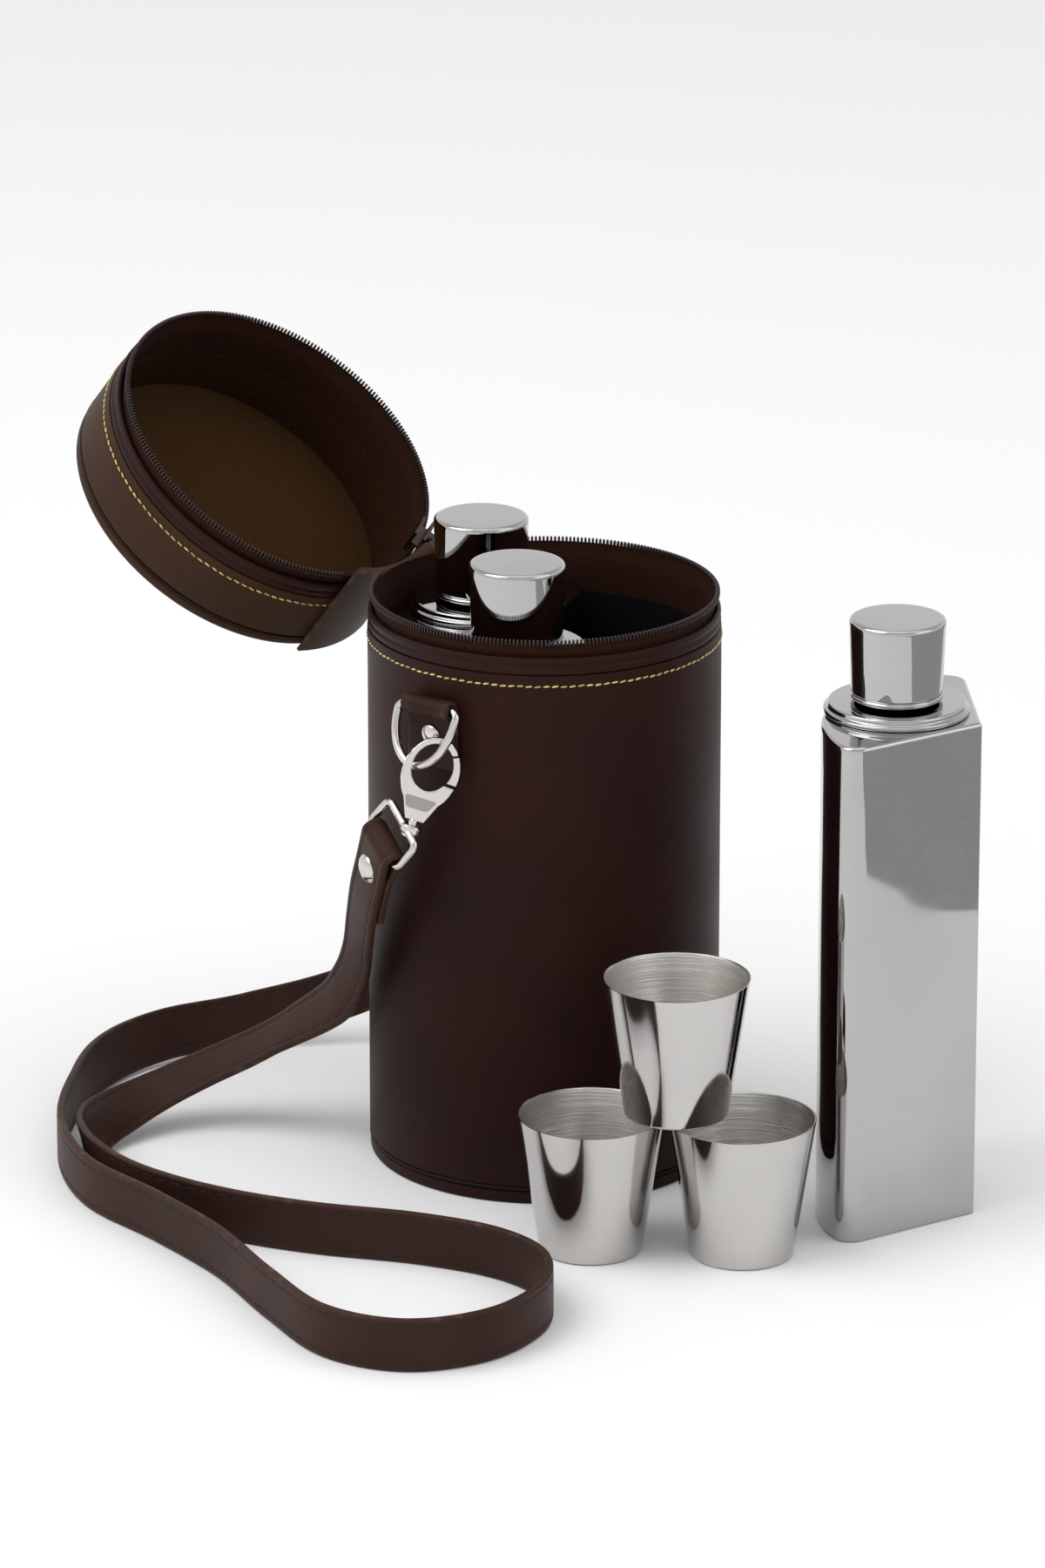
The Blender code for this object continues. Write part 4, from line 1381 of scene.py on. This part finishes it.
# ---- strap and its fittings ---------------------------------------------------------------------
@dataclass
class Side:
    """The tab, ring, hook and eye at one side, modelled on the left and mirrored for the right."""

    word: str
    sign: int
    tab_back: float = 62.8
    tab_wide: float = 20.0
    tab_bottom: float = 160.0
    rivet_height: float = 171.8
    bar: Vector = Vector((-66.7, 0.0, 182.3))
    wire: float = 1.5
    ring_half: float = 12.45
    ring_drop: float = 21.05
    ring_tilt: float = 23.6
    hook_half: float = 1.1
    hook_loop: Point = (0.0, 17.6)
    hook_loop_size: Point = (10.0, 13.4)
    hook_hole: Point = (0.0, 20.0)
    hook_hole_size: Point = (7.2, 8.5)
    hook_base: Vector = Vector((-78.3, -2.3, 144.1))
    hook_up: Vector = Vector((0.280, -0.197, 0.940)).normalized()
    hook_face: Vector = Vector((-0.724, -0.686, 0.072)).normalized()
    eye_bar: Vector = Vector((-82.5, 8.0, 134.0))
    eye_along: Vector = Vector((0.360, 0.785, 0.510)).normalized()
    eye_down: Vector = Vector((-0.201, 0.600, -0.775)).normalized()
    eye_depth: float = 11.5
    eye_half: float = 11.4
    eye_wire: float = 1.4

    def sided(self, bm: bmesh.types.BMesh) -> bmesh.types.BMesh:
        """A left-hand mesh, as it is on this side.

        Args:
            bm: the mesh.

        Returns:
            The mesh, mirrored for the right-hand side.
        """
        if self.sign < 0:
            bmesh.ops.scale(bm, verts=bm.verts, vec=(-1, 1, 1))
        return bm

    def build(self, maker: Maker) -> None:
        """Build this side's pieces.

        Args:
            maker: what makes the pieces.
        """
        self.build_tab(maker)
        self.build_ring(maker)
        self.build_hook(maker)
        self.build_eye(maker)

    def build_tab(self, maker: Maker) -> None:
        """The leather tab folded round the ring's bar, its stitches and its rivet.

        Args:
            maker: what makes the pieces.
        """
        bar = (-self.bar.x - self.tab_back, self.bar.z)
        hole, outer = self.wire + 0.3, 3.45
        inside = arc(bar, (hole, hole), 180, -130, 22)
        outside = arc(bar, (outer, outer), -108.6, 180, 24)
        section = [(0, self.tab_bottom), (1.25, self.tab_bottom), (1.25, 178.2), *inside,
                   (1.55, 178.6), (1.55, self.tab_bottom), (2.8, self.tab_bottom), *outside,
                   (0, 178.2)]
        place = basis(Vector((-self.tab_back, 0, 0)), Vector((-1, 0, 0)), Vector((0, 0, 1)),
                      Vector((0, 1, 0)))
        half = self.tab_wide / 2
        rings = [[place @ Vector((x, y, half * share)) for x, y in section]
                 for share in (-1, -0.97, -0.5, 0, 0.5, 0.97, 1)]
        tab = lofted(rings, edge=lambda i, j: 1.0 if i in (0, 1, 5, 6) else 0.0)
        maker.piece(f"tab_leather_{self.word}", self.sided(tab), [TAB_HIDE], "case",
                    Slot.LEATHER, [f"strap_tab_{self.word}"], bevel=0.28)
        threads = bmesh.new()
        out, face_at = Vector((-1, 0, 0)), -self.tab_back - 2.78
        foot, inset, size = self.tab_bottom + 1.2, 1.7, (0.26, 0.22)
        for y in (-half + inset, half - inset):
            for k in range(5):
                add_bead(threads, Vector((face_at, y, foot + 1.0 + 3.0 * k)), UP, out, 2.3, size)
        for k in range(6):
            spot = Vector((face_at, -7.2 + 2.88 * k, foot))
            add_bead(threads, spot, Vector((0, 1, 0)), out, 2.2, size)
        maker.piece(f"tab_stitching_{self.word}", self.sided(threads), [DARK_THREAD], "case",
                    Slot.LEATHER, sharp=80)
        face = 3.0
        dome = [(0, face + 1.45), (1.4, face + 1.38), (2.5, face + 1.12), (3.3, face + 0.72),
                (3.75, face + 0.28), (3.8, face), (1.5, face), (1.5, -4.9), (0, -4.9)]
        place = about(Vector((-self.tab_back, 0, self.rivet_height)), Vector((-1, 0, 0)))
        maker.piece(f"tab_rivet_cap_{self.word}",
                    self.sided(moved(turned(dome, 48, closed=False), place)), [NICKEL], "case",
                    Slot.NICKEL, [f"tab_rivet_{self.word}"], sharp=50)

    def build_ring(self, maker: Maker) -> None:
        """The D-ring.

        Args:
            maker: what makes the pieces.
        """
        corner, drop = 2.8, self.ring_drop
        right = arc((self.ring_half - corner, -corner), (corner, corner), 90, 0, 9)
        bow = arc((0, -corner), (self.ring_half, drop - corner), 0, -180, 41)[1:-1]
        left = arc((corner - self.ring_half, -corner), (corner, corner), 180, 90, 9)
        tilt = math.radians(self.ring_tilt)
        hang = Vector((math.sin(tilt), 0, math.cos(tilt)))
        path = [self.bar + Vector((0, y, 0)) + hang * w for y, w in right + bow + left]
        ring = wire_loop(path, self.wire, Vector((math.cos(tilt), 0, -math.sin(tilt))))
        maker.piece(f"ring_{self.word}", self.sided(ring), [NICKEL], f"d_ring_{self.word}",
                    Slot.NICKEL, [f"d_ring_{self.word}"], sharp=80)

    def build_hook(self, maker: Maker) -> None:
        """The snap hook with its stem, and the sprung gate with its thumb lever.

        Args:
            maker: what makes the pieces.
        """
        across = self.hook_up.cross(self.hook_face)
        place = basis(self.hook_base, across, self.hook_up, self.hook_face)
        loop, hole = (self.hook_loop, self.hook_loop_size), (self.hook_hole, self.hook_hole_size)
        outline = (arc(*loop, 42, 230, 48) + [(-3.4, 0), (3.4, 0)] + arc(*loop, -50, -12, 10)
                   + arc(*hole, 325, 42, 56))
        stem = [(0, -0.6), (1.7, -0.6), (1.7, 4.9), (2.8, 4.9), (2.8, 6.2), (0, 6.2)]
        body = plate(outline, -self.hook_half, self.hook_half, place)
        stem_mesh = moved(turned(stem, 32, closed=False), about(self.hook_base, -self.hook_up))
        maker.piece(f"hook_{self.word}", self.sided(merged([body, stem_mesh])), [NICKEL],
                    f"snap_{self.word}", Slot.NICKEL, [f"snap_hook_{self.word}"], bevel=0.85,
                    sharp=50)
        gate_line = arc(*loop, -7.5, 40, 20) + arc(*hole, 39, -28, 24)
        gate = plate(gate_line, -self.hook_half, self.hook_half, place)
        maker.piece(f"gate_{self.word}", self.sided(gate), [NICKEL], f"gate_{self.word}",
                    Slot.NICKEL, [f"snap_gate_{self.word}"], bevel=0.6, sharp=50)
        # the trigger recess is a flat panel with no depth; its darker nickel is painted shade of
        # the recess, and it is also rougher
        recess = eased([(-4.6, 4.2, 1.2), (3.2, 4.2, 1.2), (5.6, 8.6, 1.2), (-6.4, 8.6, 1.2)])
        panel = plate(recess, 0.9, 1.16, place)
        maker.piece(f"hook_panel_{self.word}", self.sided(panel), [DULL_NICKEL_RECESS_SHADE],
                    f"snap_{self.word}", Slot.NICKEL, bevel=0.1)

    def build_eye(self, maker: Maker) -> None:
        """The swivel's eye and the collar that the hook turns in.

        Args:
            maker: what makes the pieces.
        """
        corner = 2.6
        path = []
        for x, y, start in ((1, 1, 90), (1, -1, 0), (-1, -1, -90), (-1, 1, -180)):
            centre = (x * (self.eye_half - corner), y * (self.eye_depth / 2 - corner))
            path += arc(centre, (corner, corner), start, start - 90, 9)
        middle = self.eye_bar - self.eye_down * self.eye_depth / 2
        line = [middle + self.eye_along * x - self.eye_down * y for x, y in path]
        loop = wire_loop(line, self.eye_wire, self.eye_along.cross(self.eye_down))
        section = eased([(2.05, 1.6, 0.2), (3.9, 1.6, 0.9), (3.9, 4.6, 0.9), (2.05, 4.6, 0.2)])
        collar = moved(turned(section, 40), about(self.hook_base, -self.hook_up))
        maker.piece(f"eye_{self.word}", self.sided(merged([loop, collar])), [NICKEL], "case",
                    Slot.NICKEL, [f"swivel_eye_{self.word}"], sharp=80)


@dataclass
class Strap:
    """The long strap from the left eye, out over the floor, to the right eye."""

    side: Side
    wide: float = 18.9
    thick: float = 2.8
    tail: float = 22.0
    step: float = 2.2
    stitch_in: float = 2.6
    stitch_pitch: float = 3.3
    stitch_long: float = 2.5
    layer_gap: float = 0.35
    fold_points: int = 19
    route: tuple[tuple[float, float, float], ...] = (
        (-81.5, 14.4, 124.0), (-76, 22, 109.3), (-67, 31, 93.0), (-59, 39, 78.0),
        (-53, 48, 65.0), (-48, 59, 54.0), (-47, 76, 42.0), (-51, 92, 31.0), (-58, 107, 22.0),
        (-70, 119, 14.5), (-86, 124, 10.6), (-104, 122, 9.7), (-122, 112, 9.7),
        (-136, 94, 9.7), (-144, 67, 9.7), (-143, 32, 9.7), (-135, -1, 9.7), (-121, -36, 9.7),
        (-115, -67, 9.7), (-122, -92, 9.7), (-144, -108, 9.7), (-175, -109, 9.7),
        (-200, -92, 9.7), (-206, -62, 9.7), (-191, -26, 9.7), (-172, 11, 9.7),
        (-159, 50, 9.7), (-148, 90, 9.7), (-123, 123, 9.7), (-88, 147, 9.7), (-52, 162, 9.7),
        (-18, 162, 9.7), (12, 146, 11.0), (40, 117, 21.0), (60, 88, 42.0), (70, 60, 72.0),
        (76, 30, 105.0), (81.5, 14.4, 124.0),
    )
    on_case: Vector = Vector((0.478, 0.861, 0.0))
    strap_down: Vector = Vector((0.320, 0.433, -0.843)).normalized()
    riveted: float = 0.8
    hanging: float = 4.0
    standing: float = 10.0

    def smooth_route(self) -> list[Vector]:
        """Evenly spaced points on the smooth curve through the route.

        Returns:
            The points, from the left eye to the right one.
        """
        points = [Vector(p) for p in self.route]
        knots = [2 * points[0] - points[1], *points, 2 * points[-1] - points[-2]]
        dense = []
        for a, b, c, d in zip(knots, knots[1:], knots[2:], knots[3:]):
            for i in range(24):
                t = i / 24
                dense.append(0.5 * (2 * b + (c - a) * t + (2 * a - 5 * b + 4 * c - d) * t ** 2
                                    + (3 * b - a - 3 * c + d) * t ** 3))
        dense.append(points[-1].copy())
        walked = [0.0]
        for one, two in zip(dense, dense[1:]):
            walked.append(walked[-1] + (two - one).length)
        count = round(walked[-1] / self.step)
        evenly, j = [], 0
        for i in range(count + 1):
            want = walked[-1] * i / count
            while j < len(dense) - 2 and walked[j + 1] < want:
                j += 1
            share = (want - walked[j]) / (walked[j + 1] - walked[j])
            evenly.append(dense[j].lerp(dense[j + 1], share))
        return evenly

    def width_at(self, share: float) -> Vector:
        """Direction across the strap at a share of its route, 0 to 1.

        Args:
            share: the share of the route.

        Returns:
            The direction.
        """
        sign = 1 if share > 0.5 else -1
        at_end = min(share, 1 - share) * (len(self.route) - 1)
        along = self.side.eye_along
        eye = Vector((-sign * along.x, along.y, along.z))
        hanging = Vector((-sign * self.on_case.x, self.on_case.y, self.on_case.z))
        if at_end < self.hanging:
            held = (at_end - self.riveted) / (self.hanging - self.riveted)
            return eye.lerp(hanging, max(0.0, held))
        freed = (at_end - self.hanging) / (self.standing - self.hanging)
        return hanging.lerp(Vector((0, 0, 1)), min(1.0, freed))

    def fold(self, sign: int) -> list[Vector]:
        """Centre line round one eye's bar, from the inner layer to the outer one.

        Args:
            sign: 1 at the left, -1 at the right.

        Returns:
            The points.
        """
        flip = Vector((sign, 1, 1))
        bar = self.side.eye_bar * flip
        down = self.strap_down * flip
        out = self.side.eye_along.cross(self.strap_down) * flip
        turn = self.side.eye_wire + 0.3 + self.thick / 2
        angles = [math.pi * k / (self.fold_points - 1) for k in range(self.fold_points)]
        return [bar - out * turn * math.cos(a) - down * turn * math.sin(a) for a in angles]

    @staticmethod
    def section(before: Vector, after: Vector, width: Vector) -> tuple[Vector, Vector]:
        """Directions across the strap and through it.

        Args:
            before: the point before.
            after: the point after.
            width: roughly the direction across.

        Returns:
            The direction across and the direction through.
        """
        along = (after - before).normalized()
        wide = (width - along * width.dot(along)).normalized()
        return wide, along.cross(wide)

    def outline(self) -> list[tuple[float, float, float]]:
        """Half of the strap's section: across, through and how rubbed.

        Returns:
            The points of the whole section.
        """
        half, deep = self.wide / 2, self.thick / 2
        groove = half - self.stitch_in
        face = [(half, -0.45 * deep, 1.0), (half, 0.45 * deep, 1.0),
                (half - 0.35, 0.86 * deep, 0.9), (half - 0.95, deep, 0.3),
                (groove + 0.55, deep, 0.0), (groove, deep - 0.28, 0.0),
                (groove - 0.6, deep, 0.0), (groove - 3.0, deep + 0.06, 0.0),
                (0.0, deep + 0.08, 0.0), (3.0 - groove, deep + 0.06, 0.0),
                (0.6 - groove, deep, 0.0), (-groove, deep - 0.28, 0.0),
                (-0.55 - groove, deep, 0.0), (0.95 - half, deep, 0.3),
                (0.35 - half, 0.86 * deep, 0.9)]
        return face + [(-x, -y, rub) for x, y, rub in face]

    def build(self, maker: Maker) -> None:
        """Build the strap with its seams, and the rivets that hold its folded ends.

        Args:
            maker: what makes the pieces.
        """
        middle = self.smooth_route()
        folds = {1: self.fold(1), -1: self.fold(-1)}
        line = [folds[1][-1], *middle, folds[-1][-1]]
        count = len(middle)
        widths = [self.width_at(i / (count - 1)) for i in range(count)]
        sections = [self.section(line[i], line[i + 2], widths[i]) for i in range(count)]
        layers = self.thick + self.layer_gap
        inner = [p + sections[i][1] * layers for i, p in enumerate(middle)]
        tail = round(self.tail / self.step) + 1
        path = (inner[:tail][::-1] + folds[1] + middle + folds[-1][::-1]
                + inner[-tail:][::-1])
        across = (widths[:tail][::-1] + [widths[0]] * self.fold_points + widths
                  + [widths[-1]] * self.fold_points + widths[-tail:][::-1])
        outline = self.outline()
        rings, frames = [], []
        for i, point in enumerate(path):
            before, after = path[max(i - 1, 0)], path[min(i + 1, len(path) - 1)]
            wide, deep = self.section(before, after, across[i])
            frames.append((point, wide, deep))
            rings.append([point + wide * x + deep * y for x, y, _ in outline])
        strap = lofted(rings, edge=lambda i, j: outline[j][2])
        self.add_seams(strap, frames)
        piece = maker.piece("shoulder_strap", strap, [STRAP_HIDE, DARK_THREAD], "case",
                            Slot.STRAP, ["strap"], sharp=60)
        rivets = self.build_rivets(maker, middle, sections, layers)
        top = self.fold_points // 2
        run = [p * MM for p in [folds[1][top], *middle, folds[-1][top]]]
        length = sum((two - one).length for one, two in zip(run, run[1:]))
        LOG.info("strap is %.3f m long", length)
        tuple(run[0])
        [tuple(p) for p in run]

    def add_seams(self, bm: bmesh.types.BMesh,
                  frames: Sequence[tuple[Vector, Vector, Vector]]) -> None:
        """Add the stitches along both edges, on both faces.

        Args:
            bm: the mesh.
            frames: the place, width and depth directions along the strap.
        """
        walked = 0.0
        due = self.stitch_pitch
        offset = self.wide / 2 - self.stitch_in
        for i in range(1, len(frames)):
            here, wide, deep = frames[i]
            before = frames[i - 1][0]
            walked += (here - before).length
            if walked < due:
                continue
            due += self.stitch_pitch
            along = (here - before).normalized()
            for edge in (-1, 1):
                for face in (-1, 1):
                    spot = here + wide * offset * edge + deep * (self.thick / 2 - 0.10) * face
                    add_bead(bm, spot, along, deep * face, self.stitch_long, (0.36, 0.24),
                             slot=1)

    def build_rivets(self, maker: Maker, middle: Sequence[Vector],
                     sections: Sequence[tuple[Vector, Vector]],
                     layers: float) -> list[bpy.types.Object]:
        """The domed rivets near the strap's ends.

        Args:
            maker: what makes the pieces.
            middle: the strap's centre line.
            sections: the directions across and through it.
            layers: how far apart the two layers are.

        Returns:
            The rivets.
        """
        front = self.thick / 2 + 0.15
        back = self.thick / 2 + 0.45 + layers + 0.75
        dome = [(0, front + 2.2), (1.6, front + 2.12), (3.2, front + 1.75),
                (4.4, front + 1.15), (5.1, front + 0.5), (5.3, front), (1.5, front),
                (1.5, -back), (4.2, -back), (4.2, -back - 0.8), (0, -back - 0.8)]
        made = []
        for word, end in (("left", 0), ("right", -1)):
            place = about(middle[end], -sections[end][1])
            made.append(maker.piece(f"strap_rivet_cap_{word}",
                                    moved(turned(dome, 48, closed=False), place), [NICKEL],
                                    "case", Slot.NICKEL, [f"strap_rivet_{word}"], sharp=50))
        return made


# ---- flasks and cups ----------------------------------------------------------------------------
@dataclass
class Flask:
    """A drawn steel flask whose plan is a third of a circle, with a collar and a screw cap."""

    name: str
    apex: tuple[float, float, float]
    heading: float
    radius: float = 55.8
    corner: float = 7.0
    tip: float = 1.2
    shoulder: float = 182.1
    from_apex: float = 32.4
    mouth: float = 10.8
    wall: float = 0.8
    neck_top: float = 211.5
    cap_top: float = 215.9

    def plan(self, inset: float) -> list[Point]:
        """The flask's outline from above, moved in by inset, with its apex at the origin.

        Args:
            inset: how far to move in.

        Returns:
            The points.
        """
        reach = self.radius - self.corner
        swing = 60 - math.degrees(math.asin(self.corner / reach))
        corner = self.corner - inset
        tip = max(self.tip - inset, 0.05)
        tip_at = (inset + tip) / math.sin(math.radians(60))
        low = (reach * math.cos(math.radians(swing)), -reach * math.sin(math.radians(swing)))
        high = (low[0], -low[1])
        big = self.radius - inset
        return (arc(low, (corner, corner), -150, -swing, 16)
                + arc((0, 0), (big, big), -swing, swing, 49)[1:-1]
                + arc(high, (corner, corner), swing, 150, 16)
                + arc((tip_at, 0), (tip, tip), 150, 210, 9))

    def place(self) -> Matrix:
        """The matrix from the flask's own frame to the object's."""
        return (Matrix.Translation(Vector(self.apex))
                @ Matrix.Rotation(math.radians(self.heading), 4, "Z"))

    def body_mesh(self) -> bmesh.types.BMesh:
        """The hollow body with softly rounded folds at its foot and shoulder.

        Returns:
            The mesh.
        """
        top, wall = self.shoulder, self.wall
        fold = 1.5
        levels = [(1.0 - math.sin(a), 1.0 - math.cos(a))
                  for a in (math.radians(15 * k) for k in range(7))]
        rings = [(self.plan(i), z) for i, z in levels]
        rings += [(self.plan(0), z) for z in (30, 60, 90, 120, 150)]
        rings += [(self.plan(fold * (1 - math.cos(a))), top - fold * (1 - math.sin(a)))
                  for a in (math.radians(11.25 * k) for k in range(9))]
        rings += [(self.mouth_ring(), top), (self.mouth_ring(), top - wall),
                  (self.plan(2.4), top - wall), (self.plan(wall), top - 2.4),
                  (self.plan(wall), 1.9), (self.plan(1.7), wall)]
        return lofted([[Vector((x, y, z)) for x, y in plan] for plan, z in rings])

    def mouth_ring(self) -> list[Point]:
        """A circle round the cap's axis whose points face those of the plan.

        Returns:
            The points.
        """
        ring = []
        for x, y in self.plan(0):
            towards = math.atan2(y, x - self.from_apex)
            ring.append((self.from_apex + self.mouth * math.cos(towards),
                         self.mouth * math.sin(towards)))
        return ring

    def thread_mesh(self) -> bmesh.types.BMesh:
        """The three starts of the neck's thread.

        Returns:
            The mesh.
        """
        turns, lead, starts, steps = 1.6, 8.0, 3, 120
        foot, neck, ridge = 192.4, 13.45, 0.75
        parts = []
        for start in range(starts):
            rings = []
            for i in range(steps + 1):
                angle = 2 * math.pi * (turns * i / steps + start / starts)
                height = foot + lead * turns * i / steps
                fade = min(1.0, 8 * i / steps, 8 * (steps - i) / steps)
                out = Vector((math.cos(angle), math.sin(angle), 0))
                core = out * neck + Vector((0, 0, height))
                crest = core + out * ridge * fade
                rings.append([core - UP * 0.7, crest - UP * 0.2, crest + UP * 0.2,
                              core + UP * 0.7, core - out * 0.3])
            parts.append(lofted(rings))
        return merged(parts)

    def build(self, maker: Maker, frame: dict) -> None:
        """Build the flask's pieces.

        Args:
            maker: what makes the pieces.
            frame: the loaded frame.
        """
        name, number = self.name, self.name[-1]
        place = self.place()
        axis = place @ Matrix.Translation((self.from_apex, 0, 0))
        maker.piece(f"{name}_shell", moved(self.body_mesh(), place), [STEEL], name, Slot.STEEL,
                    [f"{name}_body", f"{name}_base"], sharp=50)
        seat = self.shoulder + 0.15
        section = eased([(9.4, 179.5, 0.2), (10.2, 179.5, 0.2), (10.2, seat, 0.0),
                         (25.5, seat, 0.3), (25.6, 183.7, 0.7), (24.2, 184.1, 0.5),
                         (24.05, 185.9, 0.9), (13.6, 185.9, 1.0), (12.6, 187.2, 0.6),
                         (12.6, 190.0, 0.5), (13.4, 191.0, 0.4), (13.4, 208.0, 0.6),
                         (12.6, self.neck_top, 0.8), (9.4, self.neck_top, 0.6)])
        collar = turned(section, 128)
        maker.piece(f"{name}_collar_ring", moved(merged([collar, self.thread_mesh()]), axis),
                    [STEEL], name, Slot.STEEL, [f"{name}_collar"], sharp=50)
        low, top = 187.3, self.cap_top
        cap = eased([(0, top, 0), (16.95, top, 1.9), (16.05, 189.6, 1.0), (15.7, 189.0, 0.3),
                     (16.25, 188.5, 0.5), (16.15, low, 0.5), (14.9, low, 0.2),
                     (15.2, top - 1.0, 0.5), (0, top - 1.0, 0)], closed=False, steps=6)
        maker.piece(f"{name}_screw_cap", moved(turned(cap, 128, closed=False), axis), [STEEL],
                    f"cap_{number}", Slot.STEEL, [f"{name}_cap"], sharp=50)
        maker.node(frame, f"{name}_seal", SILICONE, 0.3)


@dataclass
class Cup:
    """A tapered cup, polished outside and turned inside."""

    name: str
    at: tuple[float, float, float]
    height: float = 49.9
    rim: float = 25.6
    foot: float = 18.1
    wall: float = 0.65

    def build(self, maker: Maker) -> None:
        """Build the cup.

        Args:
            maker: what makes the pieces.
        """
        foot, rim, wall, high = self.foot, self.rim, self.wall, self.height
        outside = eased([(0, 0.5, 0), (foot - 3.2, 0.5, 0.6), (foot - 2.6, 0, 0.5),
                         (foot, 0, 2.2), (rim, high, 0.32)], closed=False, steps=6)
        lip = [(rim - 0.02, high - 0.12), (rim - wall / 2, high), (rim - wall + 0.04, high - 0.12)]
        inside = eased([(rim - wall, high - 0.3, 0), (foot - wall, wall, 2.4), (0, wall, 0)],
                       closed=False, steps=6)
        profile = refined(outside, 6.0) + lip + refined(inside, 6.0)
        bm = turned(profile, 144, closed=False)
        bm.normal_update()
        for face in bm.faces:
            middle = face.calc_center_median()
            spread = math.hypot(middle.x, middle.y)
            outer = foot + (rim - foot) * middle.z / high
            if middle.z > wall * 0.9 and spread < outer - wall * 0.6:
                face.material_index = 1
        piece_mesh = moved(bm, Matrix.Translation(Vector(self.at)))
        maker.piece(f"{self.name}_spun", piece_mesh, [CUP_STEEL, CUP_INSIDE], self.name,
                    Slot.STEEL, [self.name], sharp=60)


# ---- studio -------------------------------------------------------------------------------------
@dataclass
class Softbox:
    """A soft area light that faces the object."""

    name: str
    at: tuple[float, float, float]
    size: Point
    power: float
    aimed_at: Vector = Vector((-0.02, 0.0, 0.11))

    def build(self) -> None:
        """Hang the light."""
        data = bpy.data.lights.new(self.name, "AREA")
        data.shape = "RECTANGLE"
        data.size, data.size_y = self.size
        data.energy = self.power
        light = shown(self.name, data)
        light.location = self.at
        aim = self.aimed_at - Vector(self.at)
        light.rotation_euler = aim.to_track_quat("-Z", "Y").to_euler()


@dataclass
class Studio:
    """The pale floor, the soft lights and the camera."""

    floor_half: float = 9.0
    card_above_floor: float = 0.0006
    camera_at: tuple[float, float, float] = (-2.3376, -1.7615, 1.1325)
    camera_turn: tuple[float, float, float] = (71.194, 0.0, -52.849)
    lens: float = 200.0

    def build(self) -> None:
        """Build the studio."""
        self.build_floor()
        self.build_card()
        self.build_world()
        for light in (
            Softbox("key_softbox", (-1.3, 0.9, 2.1), (1.7, 1.7), 27.0),
            Softbox("fill_softbox", (0.6, -2.2, 1.7), (1.8, 1.5), 8.0),
            Softbox("top_softbox", (0.1, 0.0, 2.6), (2.4, 2.4), 12.0),
        ):
            light.build()
        self.build_camera()
        settings = bpy.context.scene.view_settings
        settings.view_transform = "Standard"
        settings.look = "None"

    def build_floor(self) -> None:
        """A wide pale floor."""
        bm = bmesh.new()
        bmesh.ops.create_grid(bm, x_segments=8, y_segments=8, size=self.floor_half)
        mesh = as_mesh("studio_floor", bm)
        paper = Finish("studio_paper", (0.93, 0.93, 0.93), 0.75).material()
        shader = paper.node_tree.nodes["Principled BSDF"]
        for link in list(shader.inputs["Base Color"].links):
            paper.node_tree.links.remove(link)
        shader.inputs["Specular IOR Level"].default_value = 0.1
        mesh.materials.append(paper)
        shown("studio_floor", mesh)

    def build_card(self) -> None:
        """A grey card laid on the floor out of view, which only reflections see."""
        bm = bmesh.new()
        corners = [bm.verts.new((x, y, self.card_above_floor)) for x, y in
                   ((-0.55, -0.86), (0.62, -0.20), (2.6, 0.5), (2.6, -3.0), (-1.1, -3.0))]
        bm.faces.new(corners)
        mesh = as_mesh("grey_card", bm)
        mesh.materials.append(Finish("card_grey", (0.40, 0.40, 0.41), 0.9).material())
        card = shown("grey_card", mesh)
        card.visible_camera = card.visible_diffuse = card.visible_shadow = False

    @staticmethod
    def build_world() -> None:
        """Even light that is brightest low down."""
        world = bpy.data.worlds.new("studio_world")
        bpy.context.scene.world = world
        world.use_nodes = True
        graph = Graph(world.node_tree)
        back = world.node_tree.nodes["Background"]
        parts = graph.node("ShaderNodeSeparateXYZ")
        graph.join(graph.node("ShaderNodeTexCoord").outputs["Generated"], parts.inputs[0])
        rise = graph.ramp(parts.outputs[2], 0.02, 0.75)
        graph.join(graph.mix(rise, (1.0, 1.0, 1.0, 1.0), (0.62, 0.62, 0.63, 1.0)),
                   back.inputs["Color"])
        back.inputs["Strength"].default_value = 1.0

    def build_camera(self) -> None:
        """The camera."""
        data = bpy.data.cameras.new("studio_camera")
        data.lens = self.lens
        data.sensor_width = 36.0
        data.clip_start, data.clip_end = 0.05, 60.0
        camera = shown("studio_camera", data)
        camera.location = self.camera_at
        camera.rotation_euler = [math.radians(a) for a in self.camera_turn]
        bpy.context.scene.camera = camera


def main() -> None:
    """Build the canteen and its studio."""
    logging.basicConfig(level=logging.INFO, format="%(message)s")
    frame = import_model()
    studio = Studio()
    studio.build()
    maker = Maker()
    shell = Shell()
    left = Side("left", 1)
    Strap(left).build(maker)
    Case(shell).build(maker, frame)
    Lid(shell).build(maker, frame)
    left.build(maker)
    Side("right", -1).build(maker)
    for name, heading in (("flask_1", -159.9), ("flask_2", 80.1)):
        turn = math.radians(heading)
        Flask(name, (0.4 * math.cos(turn), 0.4 * math.sin(turn), 12.1),
              heading).build(maker, frame)
    turn = math.radians(100.9)
    Flask("flask_3", (28.7 - 32.4 * math.cos(turn), -131.5 - 32.4 * math.sin(turn), 0.0),
          100.9).build(maker, frame)
    for name, at in (("cup_left", (-71.9, -74.7, 0.0)), ("cup_right", (-43.9, -119.4, 0.0)),
                     ("cup_top", (-54.1, -98.2, 50.2))):
        Cup(name, at).build(maker)
    LOG.info("%d pieces made", maker.made)


if __name__ == "__main__":
    main()
